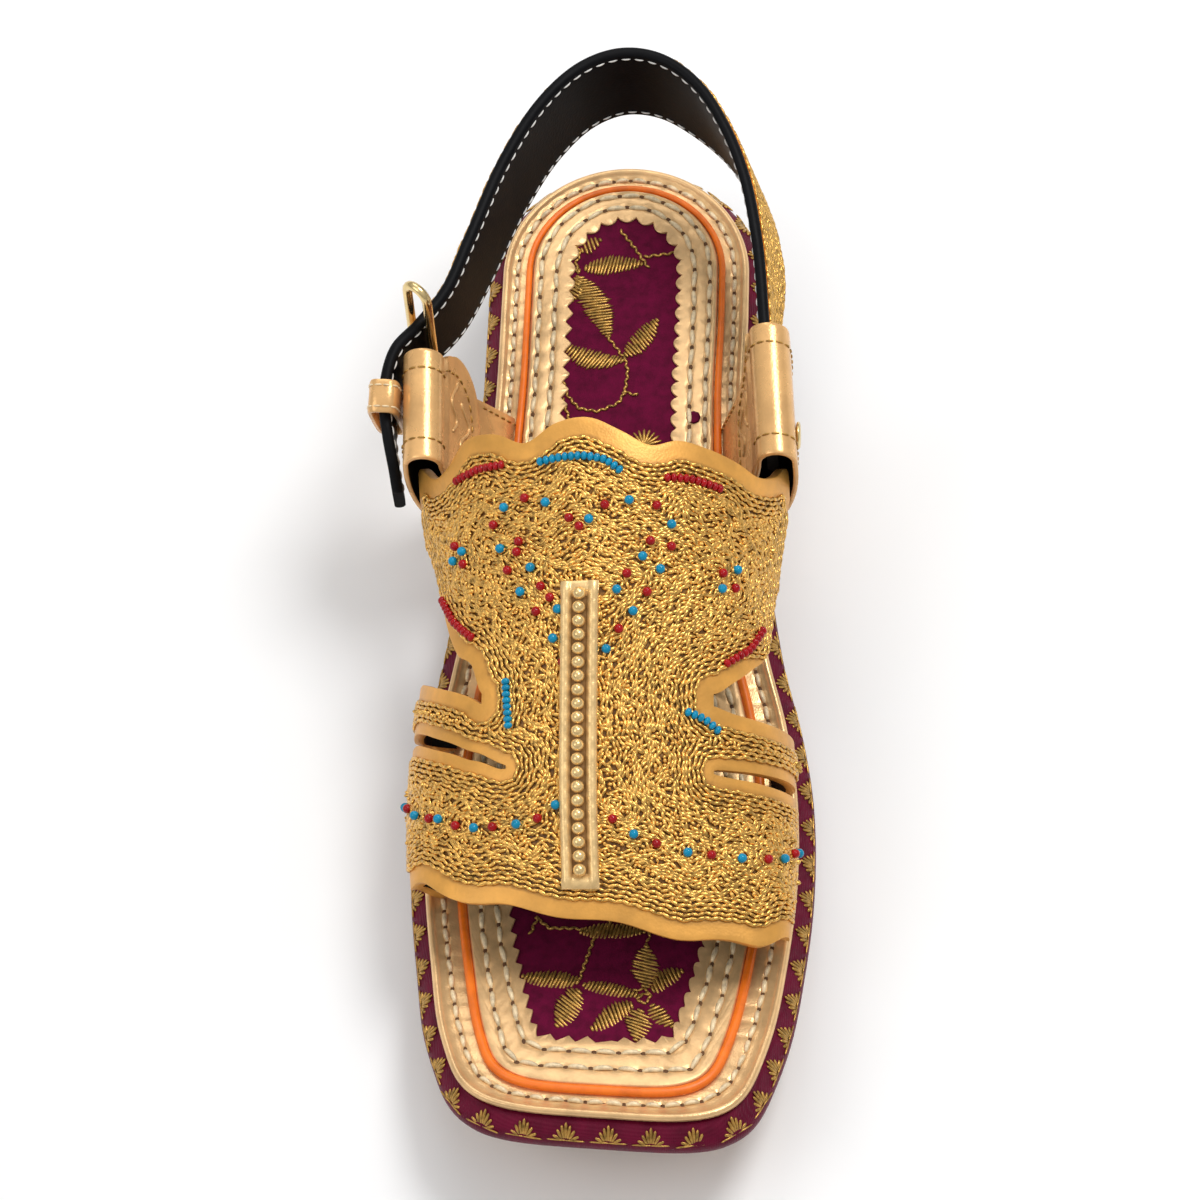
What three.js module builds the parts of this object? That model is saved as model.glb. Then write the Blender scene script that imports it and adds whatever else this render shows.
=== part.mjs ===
// Embroidered leather sandal for the right foot, in millimetres.
// +Z is up and the floor is z = 0. The toe points to -Y, the heel to +Y.
// +X is the inner (medial) side of the foot, -X the outer (lateral) side.
import * as THREE from 'three';

// Clearances and leather gauges
const GAP = 0.3;
const VAMP_WALL = 2.6;
const POST_WALL = 1.5;
const STRAP_WALL = 3.0;
const KEEPER_WALL = 1.4;

// Sole length: the rolled rim runs from TOE_Y to HEEL_Y
const TOE_Y = -144.5;
const HEEL_Y = 144;
const TOE_SPRING = 20;
const TOE_SPRING_START = -45;
const TOE_SPRING_RUN = 100;
const TOE_SPRING_POWER = 1.75;
const TOE_SPRING_LIMIT = 1.2;
const HEEL_RISE = 16;
const SHANK_START = -20;
const SHANK_RUN = 85;

// Half widths of the rolled rim, a row for each cross-section of the sole
const SOLE_SECTIONS = [
  { y: -144, lateral: 34.8, medial: 34.0 },
  { y: -117, lateral: 43.0, medial: 43.3 },
  { y: -97, lateral: 46.3, medial: 46.8 },
  { y: -71, lateral: 49.6, medial: 49.4 },
  { y: -45, lateral: 50.4, medial: 49.2 },
  { y: -23, lateral: 48.0, medial: 46.0 },
  { y: 0, lateral: 43.8, medial: 40.4 },
  { y: 30, lateral: 38.6, medial: 36.0 },
  { y: 65, lateral: 35.6, medial: 34.2 },
  { y: 97, lateral: 35.0, medial: 34.8 },
  { y: 144, lateral: 34.6, medial: 34.6 },
];
const TOE_CORNER = 20.4;
const TOE_CORNER_POWER = 4.1;
const TOE_CORNER_SHRINK = 0.5;
const TOE_CORNER_LEAST = 8;
const HEEL_CORNER = 34;
// The toe edge leans forward towards the big toe, by this much for each millimetre across
const TOE_SKEW = 0.073;
const TOE_SKEW_END_Y = -104;
const CORNER_STATIONS = 6;
const SIDE_STATIONS = 22;

// Layer heights above the line of the sole, from the tread upwards
const PAD_TOP = 3;
const OUTSOLE_BOTTOM = PAD_TOP + GAP;
const OUTSOLE_TOP = 7;
const BAND_BOTTOM = OUTSOLE_TOP + GAP;
const BAND_TOP = 17;
const BASE_BOTTOM = BAND_TOP + GAP;
const BASE_TOP = 19.3;
const RIM_TOP = 20.3;
const TRIM_BOTTOM = BASE_TOP + GAP;
const FRAME_TOP = 21.5;
const INSERT_TOP = 20.6;
const PIPING_RADIUS = 1.05;

// Insets from the rim of the lines drawn on the footbed
const PIPING_LINE = { fore: 10.2, rear: 7.9, toe: 9.4, back: 6, taper: 0.6 };
const PIPING_SEAT = PIPING_RADIUS + GAP;
const FRAME_WIDTH = { fore: 11.6, rear: 10.6, toe: 14.2, back: 10.2, taper: 2.2 };
const FORE_LINE_Y = -60;
const REAR_LINE_Y = 70;
const TAPER_FULL_Y = -125;
const TAPER_START_Y = -85;

// Tread pad and heel block
const PAD_INSET = 19;
const PAD_FRONT_LATERAL = -126;
const PAD_FRONT_MEDIAL = -129;
const PAD_TIP_Y = -8;
const PAD_NOTCH = 14;
const HEEL_FRONT_Y = 72;
const HEEL_INSET = 1.2;
const HEEL_TAPER = 1.6;

// Arch of the last under the vamp, a row for each cross-section
const ARCH_SECTIONS = [
  { y: -112, lateral: 47.0, medial: 45.0, spring: 38, crown: 45 },
  { y: -90, lateral: 50.0, medial: 47.5, spring: 36, crown: 53.5 },
  { y: -65, lateral: 52.4, medial: 48.3, spring: 33, crown: 62.5 },
  { y: -40, lateral: 52.6, medial: 48.2, spring: 33, crown: 71.5 },
  { y: -20, lateral: 51.0, medial: 46.5, spring: 35, crown: 79 },
  { y: 0, lateral: 49.5, medial: 45.0, spring: 38, crown: 86.5 },
  { y: 18, lateral: 52.0, medial: 47.0, spring: 41, crown: 92 },
  { y: 38, lateral: 56.4, medial: 50.4, spring: 43, crown: 95.8 },
];
const ARCH_SWEEP = THREE.MathUtils.degToRad(122);
const VAMP_LANDING = 5.2;
const LANDING_GAP = 0.55;

// Cut lines of the vamp pattern: u runs over the arch from -1 (lateral) to 1 (medial)
const VAMP_CUTS = [
  { u: -1.0, front: -75, slit: -33, mid: -15, wing: 0 },
  { u: -0.62, front: -80, slit: -39.5, mid: -24.5, wing: 11 },
  { u: -0.55, front: -81.5, slit: -42, mid: -27.5, wing: 0 },
  { u: -0.47, front: -84.5, slit: -45.5, mid: -31, wing: -14 },
  { u: -0.4, front: -87, slit: -48.5, mid: -34, wing: -24.5 },
  { u: -0.34, front: -89, slit: -51.5, mid: -37, wing: -29 },
  { u: -0.3, front: -90, slit: -53, mid: -39.5, wing: -37 },
  { u: -0.225, front: -91, slit: -56.5, mid: -40, wing: -37 },
  { u: 0, front: -95, slit: -58, mid: -40, wing: -36 },
  { u: 0.2, front: -98, slit: -57.5, mid: -40, wing: -37 },
  { u: 0.3, front: -98.5, slit: -56.5, mid: -40, wing: -37 },
  { u: 0.36, front: -98.5, slit: -56, mid: -40.5, wing: -33 },
  { u: 0.44, front: -98, slit: -55, mid: -40, wing: -27 },
  { u: 0.52, front: -97, slit: -54, mid: -39, wing: -20 },
  { u: 0.62, front: -95, slit: -52.5, mid: -37.5, wing: 0 },
  { u: 1.0, front: -88, slit: -46.5, mid: -31, wing: 0 },
];
// Scalloped rear edge of the vamp
const SCALLOPS = [
  { u: -0.62, y: 26 },
  { u: -0.58, y: 32.5 },
  { u: -0.5, y: 25.5 },
  { u: -0.43, y: 25.5 },
  { u: -0.35, y: 29.5 },
  { u: -0.26, y: 28 },
  { u: -0.18, y: 23.5 },
  { u: -0.1, y: 27.5 },
  { u: -0.02, y: 28.5 },
  { u: 0.06, y: 25 },
  { u: 0.13, y: 22 },
  { u: 0.2, y: 24.5 },
  { u: 0.28, y: 24.5 },
  { u: 0.37, y: 24 },
  { u: 0.45, y: 23.5 },
  { u: 0.52, y: 27 },
  { u: 0.57, y: 32 },
  { u: 0.62, y: 26 },
];
const WING_END = 0.62;
const NOTCH_END = 0.3;
const SLIT_END_LATERAL = -0.225;
const SLIT_END_MEDIAL = 0.3;
const SLIT_WIDTH = 3.2;
const SLIT_TIP = 0.8;
const SLIT_RUN = 0.3;
// Small steps over the arch that give its normal
const ARCH_STEP_U = 0.004;
const ARCH_STEP_Y = 0.4;

// Folded centre strip with its bead channel
const STRIP_U = -0.04;
const STRIP_FRONT_Y = -87.5;
const STRIP_REAR_Y = -13;
const STRIP_HALF_WIDTH = 4.8;
const STRIP_CHANNEL_HALF = 1.9;
const STRIP_RIDGE = 2.6;
const STRIP_FLOOR = 1.1;

// Folded posts: distances out from the centre plane, on the outer and inner walls
const POSTS = {
  post_medial: {
    side: 1,
    roll: { front: 43.4, rear: 41.0 },
    ridge: { front: 74.5, rear: 80 },
    y: { front: 29, rear: 66 },
    footY: { front: 28, rear: 70 },
  },
  post_lateral: {
    side: -1,
    roll: { front: 50.0, rear: 50.9 },
    ridge: { front: 74.5, rear: 79 },
    y: { front: 28, rear: 59 },
    footY: { front: 27, rear: 68 },
  },
};
const ROLL_RADIUS = 4.7;
const POST_FOOT_OUTER = 4.2;
const POST_FOOT_INNER = 6.0;
const POST_BULGE = 2.2;
const POST_BEND = 8;
const POST_FLARE = 1.3;
const WALL_STEPS = 6;
const ROLL_STEPS = 9;
const POST_ROWS = 6;

// Route of the back strap at mid-height, from the medial post round the heel to the tail.
// lean moves the upper edge outwards, away from the heel
const STRAP_ROUTE = [
  { x: 42.0, y: 38, z: 60.5, height: 22, lean: 0 },
  { x: 41.1, y: 52, z: 62, height: 24, lean: -0.3 },
  { x: 40.3, y: 66, z: 64, height: 24, lean: -0.8 },
  { x: 39.2, y: 92, z: 69, height: 26, lean: -3.5 },
  { x: 35.2, y: 111, z: 72, height: 26, lean: -3 },
  { x: 29.2, y: 125.5, z: 74.5, height: 27, lean: -2 },
  { x: 20.6, y: 137, z: 76.3, height: 27, lean: 0 },
  { x: 10.5, y: 143.8, z: 77.2, height: 27, lean: 1.5 },
  { x: 0.5, y: 145.2, z: 77.4, height: 27, lean: 2 },
  { x: -9.5, y: 141.4, z: 76.8, height: 27, lean: 2.5 },
  { x: -19.5, y: 131.5, z: 75.3, height: 27, lean: 3 },
  { x: -29.2, y: 115, z: 72.5, height: 26, lean: 3.5 },
  { x: -38.4, y: 92, z: 69, height: 25, lean: 3 },
  { x: -44.6, y: 77.5, z: 67.5, height: 23, lean: 2 },
  { x: -52.0, y: 67.5, z: 67, height: 22, lean: 1 },
  { x: -58.0, y: 60.5, z: 66.5, height: 22, lean: 0.5 },
  { x: -60.5, y: 53, z: 65, height: 22, lean: 0 },
  { x: -60.9, y: 45, z: 62.5, height: 22, lean: 0 },
  { x: -59.8, y: 37, z: 59.5, height: 22, lean: 0 },
  { x: -58.3, y: 30, z: 56.5, height: 18, lean: 0 },
  { x: -57.7, y: 26.5, z: 54.5, height: 9, lean: 0 },
];
const STRAP_STATIONS = 64;
const STRAP_ROWS = 3;

// Buckle frame of round wire and the keeper loop
const BUCKLE_CENTRE = { x: -52.0, y: 67.9, z: 70.5 };
const BUCKLE_HEIGHT = 43;
const BUCKLE_SPREAD = 7;
const BUCKLE_TURN = THREE.MathUtils.degToRad(-38);
const BUCKLE_LEAN = 0.12;
const WIRE_RADIUS = 1.3;
const WIRE_SIDES = 8;
const BUCKLE_ARC_STEPS = 6;
const KEEPER_STATION = 0.822;
const KEEPER_WIDTH = 9;
const KEEPER_CLEARANCE = 1.25;

// Eyelets in the outer wall of the medial post: height on the wall and ring sizes
const EYELETS = [
  { name: 'eyelet_upper', wallShare: 0.93, y: 39, outer: 3.7, bore: 1.6 },
  { name: 'eyelet_lower', wallShare: 0.66, y: 39, outer: 2.3, bore: 1.0 },
];
const EYELET_HEIGHT = 1.1;
const EYELET_STANDOFF = 0.45;
const EYELET_SHOULDER = 0.6;
const EYELET_TOP_FLANGE = 0.9;
const EYELET_WALL_STEP = 0.05;
const EYELET_SIDES = 20;

// Finishes
const FINISHES = {
  gold_leather: { color: 0xd8b273, roughness: 0.35, metalness: 0.6 },
  embroidery: { color: 0xb98a3a, roughness: 0.5, metalness: 0.4 },
  maroon_satin: { color: 0x6a1030, roughness: 0.5, metalness: 0 },
  maroon_velvet: { color: 0x560a32, roughness: 0.9, metalness: 0 },
  orange_cord: { color: 0xe8641a, roughness: 0.5, metalness: 0 },
  tan_leather: { color: 0xc8966a, roughness: 0.6, metalness: 0 },
  black_rubber: { color: 0x1e2124, roughness: 0.7, metalness: 0 },
  black_leather: { color: 0x1c1c20, roughness: 0.5, metalness: 0 },
  brass: { color: 0xd9b76a, roughness: 0.25, metalness: 1 },
};

const sandal = new THREE.Group();

function addPiece(name, finish, geometry) {
  geometry.computeVertexNormals();
  const mesh = new THREE.Mesh(geometry, new THREE.MeshStandardMaterial(FINISHES[finish]));
  mesh.name = name;
  sandal.add(mesh);
}

// Smooth value of a table column, by cubic pieces through its rows
function tableValue(rows, key, column, at) {
  const last = rows.length - 1;
  let i = 0;
  while (i < last - 1 && at > rows[i + 1][key]) i += 1;
  const slope = (k) => {
    const a = rows[Math.max(k - 1, 0)];
    const b = rows[Math.min(k + 1, last)];
    return (b[column] - a[column]) / (b[key] - a[key]);
  };
  const span = rows[i + 1][key] - rows[i][key];
  const t = THREE.MathUtils.clamp((at - rows[i][key]) / span, 0, 1);
  const t2 = t * t;
  const t3 = t2 * t;
  return (2 * t3 - 3 * t2 + 1) * rows[i][column] + (t3 - 2 * t2 + t) * span * slope(i)
    + (3 * t2 - 2 * t3) * rows[i + 1][column] + (t3 - t2) * span * slope(i + 1);
}

// Height of the line of the sole: toe spring, flat ball, raised shank and heel
function rise(y) {
  const spring = THREE.MathUtils.clamp((TOE_SPRING_START - y) / TOE_SPRING_RUN, 0, TOE_SPRING_LIMIT);
  const shank = THREE.MathUtils.smoothstep(y, SHANK_START, SHANK_START + SHANK_RUN);
  return TOE_SPRING * spring ** TOE_SPRING_POWER + HEEL_RISE * shank;
}

// Distance of the rim from the centre plane on one side
function rimAt(y, side) {
  return tableValue(SOLE_SECTIONS, 'y', side > 0 ? 'medial' : 'lateral', y);
}

// Point over the line of the sole, with the lean of the toe edge
function skewed(x, y, height, flat) {
  const near = 1 - THREE.MathUtils.smoothstep(y, TOE_Y, TOE_SKEW_END_Y);
  const leaned = y - TOE_SKEW * x * near;
  return new THREE.Vector3(x, leaned, flat ? height : rise(leaned) + height);
}

// Closed loop inset from the rim: lateral side from toe to heel, then the medial side back
function soleLoop(line) {
  const { fore, rear = fore, toe = fore, back = rear, taper = 0, height, frontY, flat = false } = line;
  const start = frontY ?? TOE_Y + toe;
  const end = HEEL_Y - back;
  const toeCorner = Math.max(TOE_CORNER - TOE_CORNER_SHRINK * toe, TOE_CORNER_LEAST);
  const heelCorner = HEEL_CORNER - back;
  const corner = steps(0.5, CORNER_STATIONS - 0.5, CORNER_STATIONS - 1)
    .map((k) => (k / CORNER_STATIONS) * (Math.PI / 2));
  const toeShape = 2 / TOE_CORNER_POWER;
  const toeStops = frontY === undefined ? corner.map((angle) => ({
    y: start + toeCorner * (1 - Math.cos(angle) ** toeShape),
    round: Math.sin(angle) ** toeShape,
  })) : [{ y: start, round: 1 }];
  const sideStart = frontY === undefined ? start + toeCorner : start;
  const sideStops = steps(sideStart, end - heelCorner, SIDE_STATIONS)
    .slice(frontY === undefined ? 0 : 1).map((y) => ({ y, round: 1 }));
  const heelStops = corner.map((angle) => ({
    y: end - heelCorner * (1 - Math.cos(angle)),
    round: Math.sin(angle),
  })).reverse();
  const lateral = [];
  const medial = [];
  for (const { y, round } of [...toeStops, ...sideStops, ...heelStops]) {
    const backwards = THREE.MathUtils.smoothstep(y, FORE_LINE_Y, REAR_LINE_Y);
    const tapered = 1 - THREE.MathUtils.smoothstep(y, TAPER_FULL_Y, TAPER_START_Y);
    const inset = THREE.MathUtils.lerp(fore, rear, backwards) + taper * tapered;
    const out = -(rimAt(y, -1) - inset);
    const into = rimAt(y, 1) - inset;
    const middle = (out + into) / 2;
    const half = ((into - out) / 2) * round;
    lateral.push(skewed(middle - half, y, height, flat));
    medial.push(skewed(middle + half, y, height, flat));
  }
  return lateral.concat(medial.reverse());
}

function indexedGeometry(points, triangles) {
  const geometry = new THREE.BufferGeometry();
  const numbers = points.flatMap((point) => point.toArray());
  geometry.setAttribute('position', new THREE.Float32BufferAttribute(numbers, 3));
  geometry.setIndex(triangles);
  return geometry;
}

// Side walls between neighbouring loops; the last loop joins the first when closed
function loopWalls(loops, closed) {
  const count = loops[0].length;
  const triangles = [];
  const joins = closed ? loops.length : loops.length - 1;
  for (let k = 0; k < joins; k += 1) {
    const low = k * count;
    const high = ((k + 1) % loops.length) * count;
    for (let i = 0; i < count; i += 1) {
      const j = (i + 1) % count;
      triangles.push(low + i, high + i, low + j, low + j, high + i, high + j);
    }
  }
  return triangles;
}

// Solid plate from loops stacked upwards, closed across its width at both ends of the stack
function plate(loops) {
  const count = loops[0].length;
  const triangles = loopWalls(loops, false);
  const top = (loops.length - 1) * count;
  for (let i = 0; i < count / 2 - 1; i += 1) {
    const a = i;
    const b = i + 1;
    const c = count - 2 - i;
    const d = count - 1 - i;
    triangles.push(a, b, c, a, c, d);
    triangles.push(top + a, top + c, top + b, top + a, top + d, top + c);
  }
  return indexedGeometry(loops.flat(), triangles);
}

// Ring whose section is a closed polygon of loops
function ring(loops) {
  return indexedGeometry(loops.flat(), loopWalls(loops, true));
}

// Wall between two grids of points, with cells left out where the piece is open
function wall(outer, inner, isOpen = () => false) {
  const columns = outer.length;
  const rows = outer[0].length;
  const used = new Map();
  const points = [];
  const triangles = [];
  const pick = (skin, c, r) => {
    const key = `${skin},${c},${r}`;
    if (!used.has(key)) {
      used.set(key, points.length);
      points.push((skin ? inner : outer)[c][r]);
    }
    return used.get(key);
  };
  const present = (c, r) => c >= 0 && r >= 0 && c < columns - 1 && r < rows - 1 && !isOpen(c, r);
  const face = (a, b, c, d) => triangles.push(a, b, c, a, c, d);
  for (let c = 0; c < columns - 1; c += 1) {
    for (let r = 0; r < rows - 1; r += 1) {
      if (!present(c, r)) continue;
      face(pick(0, c, r), pick(0, c + 1, r), pick(0, c + 1, r + 1), pick(0, c, r + 1));
      face(pick(1, c, r), pick(1, c, r + 1), pick(1, c + 1, r + 1), pick(1, c + 1, r));
      const edge = (c0, r0, c1, r1) => {
        face(pick(0, c1, r1), pick(0, c0, r0), pick(1, c0, r0), pick(1, c1, r1));
      };
      if (!present(c, r - 1)) edge(c, r, c + 1, r);
      if (!present(c + 1, r)) edge(c + 1, r, c + 1, r + 1);
      if (!present(c, r + 1)) edge(c + 1, r + 1, c, r + 1);
      if (!present(c - 1, r)) edge(c, r + 1, c, r);
    }
  }
  return indexedGeometry(points, triangles);
}

const grid = (columns, rows, at) => columns.map((c) => rows.map((r) => at(c, r)));

// Evenly spaced values from one end to the other
function steps(from, to, count) {
  return Array.from({ length: count + 1 }, (_, i) => from + ((to - from) * i) / count);
}

// Point shifted along the normal of a surface given by two parameters
function offsetPoint(surface, u, v, du, dv, distance) {
  const alongU = surface(u + du, v).sub(surface(u - du, v));
  const alongV = surface(u, v + dv).sub(surface(u, v - dv));
  return surface(u, v).addScaledVector(alongU.cross(alongV).normalize(), distance);
}

// Insets of two lines added together
function shifted(line, by) {
  const step = typeof by === 'number' ? { fore: by, rear: by, toe: by, back: by, taper: 0 } : by;
  return {
    fore: line.fore + step.fore,
    rear: line.rear + step.rear,
    toe: line.toe + step.toe,
    back: line.back + step.back,
    taper: line.taper + step.taper,
  };
}

function makeSole() {
  const across = steps(-1, 1, 10);
  const along = steps(0, 1, 14);
  const padPoint = (u, v, height) => {
    const front = THREE.MathUtils.lerp(PAD_FRONT_LATERAL, PAD_FRONT_MEDIAL, (u + 1) / 2);
    const rear = PAD_TIP_Y - PAD_NOTCH * (1 - Math.abs(u));
    const y = THREE.MathUtils.lerp(front, rear, v);
    const x = THREE.MathUtils.lerp(PAD_INSET - rimAt(y, -1), rimAt(y, 1) - PAD_INSET, (u + 1) / 2);
    return new THREE.Vector3(x, y, rise(y) + height);
  };
  const padTop = grid(across, along, (u, v) => padPoint(u, v, PAD_TOP));
  const padBottom = grid(across, along, (u, v) => padPoint(u, v, 0));
  addPiece('tread_pad', 'black_rubber', wall(padTop, padBottom));

  addPiece('heel_lift', 'black_rubber', plate([
    soleLoop({ fore: HEEL_INSET + HEEL_TAPER, height: 0, frontY: HEEL_FRONT_Y + HEEL_TAPER, flat: true }),
    soleLoop({ fore: HEEL_INSET, height: PAD_TOP, frontY: HEEL_FRONT_Y }),
  ]));

  const outsoleEdge = [
    { fore: -0.7, height: OUTSOLE_BOTTOM },
    { fore: -1.5, height: OUTSOLE_BOTTOM + 0.6 },
    { fore: -1.5, height: OUTSOLE_TOP - 0.5 },
    { fore: -1.0, height: OUTSOLE_TOP },
  ];
  addPiece('outsole', 'tan_leather', plate(outsoleEdge.map(soleLoop)));

  const bandEdge = [
    { fore: -0.6, height: BAND_BOTTOM },
    { fore: -2.2, height: BAND_BOTTOM + 1.4 },
    { fore: -3.0, height: BAND_BOTTOM + 3.6 },
    { fore: -3.0, height: BAND_TOP - 3.6 },
    { fore: -2.0, height: BAND_TOP - 1.2 },
    { fore: -0.4, height: BAND_TOP },
  ];
  addPiece('edge_band', 'maroon_satin', plate(bandEdge.map(soleLoop)));
}

function makeFootbed() {
  const rimRoll = [
    { fore: 0.5, height: BASE_BOTTOM },
    { fore: -0.2, height: BASE_BOTTOM + 0.9 },
    { fore: -0.1, height: RIM_TOP - 0.8 },
    { fore: 0.7, height: RIM_TOP },
    { fore: 2.0, height: RIM_TOP },
    { fore: 3.0, height: BASE_TOP },
  ];
  addPiece('footbed_base', 'gold_leather', plate(rimRoll.map(soleLoop)));

  const pipingSides = 6;
  const pipingLoops = steps(0, 1, pipingSides).slice(0, -1).map((share) => {
    const angle = share * 2 * Math.PI + Math.PI / pipingSides;
    const height = TRIM_BOTTOM + PIPING_RADIUS * (1 + Math.sin(angle));
    return soleLoop({ ...shifted(PIPING_LINE, -PIPING_RADIUS * Math.cos(angle)), height });
  });
  addPiece('piping', 'orange_cord', ring(pipingLoops));

  const frameOuter = shifted(PIPING_LINE, PIPING_SEAT);
  const frameInner = shifted(frameOuter, FRAME_WIDTH);
  addPiece('footbed_frame', 'gold_leather', ring([
    soleLoop({ ...frameOuter, height: TRIM_BOTTOM }),
    soleLoop({ ...frameOuter, height: FRAME_TOP - 0.7 }),
    soleLoop({ ...shifted(frameOuter, 1.2), height: FRAME_TOP }),
    soleLoop({ ...shifted(frameInner, -1), height: FRAME_TOP }),
    soleLoop({ ...frameInner, height: FRAME_TOP - 0.5 }),
    soleLoop({ ...frameInner, height: TRIM_BOTTOM }),
  ]));

  const insert = shifted(frameInner, GAP);
  addPiece('footbed_insert', 'maroon_velvet', plate([
    soleLoop({ ...insert, height: TRIM_BOTTOM }),
    soleLoop({ ...insert, height: INSERT_TOP }),
  ]));
}

// Outer face of the upper: an arch that bulges over the rim and tucks in at its foot
function archPoint(u, y) {
  const section = (column) => tableValue(ARCH_SECTIONS, 'y', column, y);
  const side = Math.sign(u) || 1;
  const lateral = -section('lateral');
  const medial = section('medial');
  const middle = (lateral + medial) / 2;
  const half = (medial - lateral) / 2;
  const spring = section('spring');
  const angle = Math.abs(u) * ARCH_SWEEP;
  const foot = rise(y) + BASE_TOP + LANDING_GAP;
  let x = middle + side * half * Math.sin(angle);
  let z = spring + (section('crown') - spring) * Math.cos(angle);
  if (angle > Math.PI / 2) {
    const tuck = (1 - Math.sin(angle)) / (1 - Math.sin(ARCH_SWEEP));
    x = THREE.MathUtils.lerp(middle + side * half, side * (rimAt(y, side) - VAMP_LANDING), tuck);
    z = spring - (spring - foot) * (Math.cos(angle) / Math.cos(ARCH_SWEEP));
  }
  return new THREE.Vector3(x, y, z);
}

// Point of the vamp wall, a given depth under its outer face, never below the footbed
function vampPoint(u, y, depth) {
  const point = offsetPoint(archPoint, u, y, ARCH_STEP_U, ARCH_STEP_Y, -depth);
  point.z = Math.max(point.z, rise(point.y) + BASE_TOP + LANDING_GAP);
  return point;
}

function makeVamp() {
  const columns = [
    ...steps(-1, -WING_END, 5).slice(0, -1),
    ...steps(-WING_END, -NOTCH_END, 8).slice(0, -1),
    ...steps(-NOTCH_END, NOTCH_END, 16).slice(0, -1),
    ...steps(NOTCH_END, WING_END, 8).slice(0, -1),
    ...steps(WING_END, 1, 5),
  ];
  const bandRows = { toeStrap: 7, slit: 1, midStrap: 3, notch: 2, wing: 7 };
  const bands = Object.entries(bandRows).flatMap(([name, count]) => Array(count).fill(name));

  const slitHalf = (u) => {
    const end = u < 0 ? SLIT_END_LATERAL : SLIT_END_MEDIAL;
    const open = THREE.MathUtils.clamp((Math.abs(u) - Math.abs(end)) / SLIT_RUN, 0, 1);
    return (SLIT_TIP + (SLIT_WIDTH - SLIT_TIP) * Math.sqrt(open)) / 2;
  };
  const cutLines = (u) => {
    const cut = (column) => tableValue(VAMP_CUTS, 'u', column, u);
    const wingU = THREE.MathUtils.clamp(u, -WING_END, WING_END);
    const top = tableValue(SCALLOPS, 'u', 'y', wingU);
    const slitFront = cut('slit') - slitHalf(u);
    const slitRear = cut('slit') + slitHalf(u);
    return [cut('front'), slitFront, slitRear, cut('mid'), cut('wing'), top];
  };
  const rowsOf = (u) => {
    const lines = cutLines(u);
    const counts = Object.values(bandRows);
    const inner = counts.flatMap((count, k) => steps(lines[k], lines[k + 1], count).slice(0, -1));
    return [...inner, lines[lines.length - 1]];
  };
  const outer = columns.map((u) => rowsOf(u).map((y) => vampPoint(u, y, 0)));
  const inner = columns.map((u) => rowsOf(u).map((y) => vampPoint(u, y, VAMP_WALL)));
  const isOpen = (c, r) => {
    const u = (columns[c] + columns[c + 1]) / 2;
    if (bands[r] === 'slit') return u < SLIT_END_LATERAL || u > SLIT_END_MEDIAL;
    if (bands[r] === 'notch') return Math.abs(u) > NOTCH_END;
    return bands[r] === 'wing' && Math.abs(u) > WING_END;
  };
  addPiece('vamp', 'embroidery', wall(outer, inner, isOpen));
}

// Folded strip on the crown of the vamp: two ridges beside a channel for the beads
function makeCentreStrip() {
  const profile = [
    { across: -STRIP_HALF_WIDTH, up: 0.6 },
    { across: -STRIP_HALF_WIDTH + 0.6, up: STRIP_RIDGE - 0.4 },
    { across: -STRIP_HALF_WIDTH + 1.5, up: STRIP_RIDGE },
    { across: -STRIP_CHANNEL_HALF, up: STRIP_FLOOR },
    { across: STRIP_CHANNEL_HALF, up: STRIP_FLOOR },
    { across: STRIP_HALF_WIDTH - 1.5, up: STRIP_RIDGE },
    { across: STRIP_HALF_WIDTH - 0.6, up: STRIP_RIDGE - 0.4 },
    { across: STRIP_HALF_WIDTH, up: 0.6 },
  ];
  const along = steps(STRIP_FRONT_Y, STRIP_REAR_Y, 16);
  const point = (corner, y, up) => {
    const lateral = tableValue(ARCH_SECTIONS, 'y', 'lateral', y);
    const medial = tableValue(ARCH_SECTIONS, 'y', 'medial', y);
    const u = STRIP_U + corner.across / (ARCH_SWEEP * ((lateral + medial) / 2));
    return vampPoint(u, y, -up);
  };
  const outer = grid(profile, along, (corner, y) => point(corner, y, GAP + corner.up));
  const inner = grid(profile, along, (corner, y) => point(corner, y, GAP));
  addPiece('centre_strip', 'gold_leather', wall(outer, inner));
}

// Middle line of a post's wall: outer wall up, over the roll, inner wall down
function postWall(post, part, share, along) {
  const mix = (pair) => THREE.MathUtils.lerp(pair.front, pair.rear, along);
  const centre = mix(post.roll);
  const centreZ = mix(post.ridge) - ROLL_RADIUS - POST_WALL / 2;
  const angle = Math.PI * share;
  const top = part === 'roll' ? 1 : part === 'outer' ? share : 1 - share;
  const y = THREE.MathUtils.lerp(mix(post.footY), mix(post.y), Math.min(top * POST_FLARE, 1));
  const footZ = rise(y) + BASE_TOP + LANDING_GAP;
  const rim = rimAt(y, post.side);
  let out = centre + ROLL_RADIUS * Math.cos(angle);
  let z = centreZ + ROLL_RADIUS * Math.sin(angle);
  if (part !== 'roll') {
    const sideways = part === 'outer' ? 1 : -1;
    const inset = part === 'outer' ? POST_FOOT_OUTER : POST_FOOT_INNER;
    const foot = new THREE.Vector2(rim - inset, footZ);
    const bendOut = centre + (part === 'outer' ? POST_BULGE + ROLL_RADIUS : -ROLL_RADIUS);
    const bend = new THREE.Vector2(bendOut, part === 'outer' ? footZ + POST_BEND : centreZ - POST_BEND);
    const head = new THREE.Vector2(centre + sideways * ROLL_RADIUS, centreZ);
    const spot = new THREE.QuadraticBezierCurve(foot, bend, head).getPoint(top);
    out = spot.x;
    z = spot.y;
  }
  return new THREE.Vector3(post.side * out, y, z);
}

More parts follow.
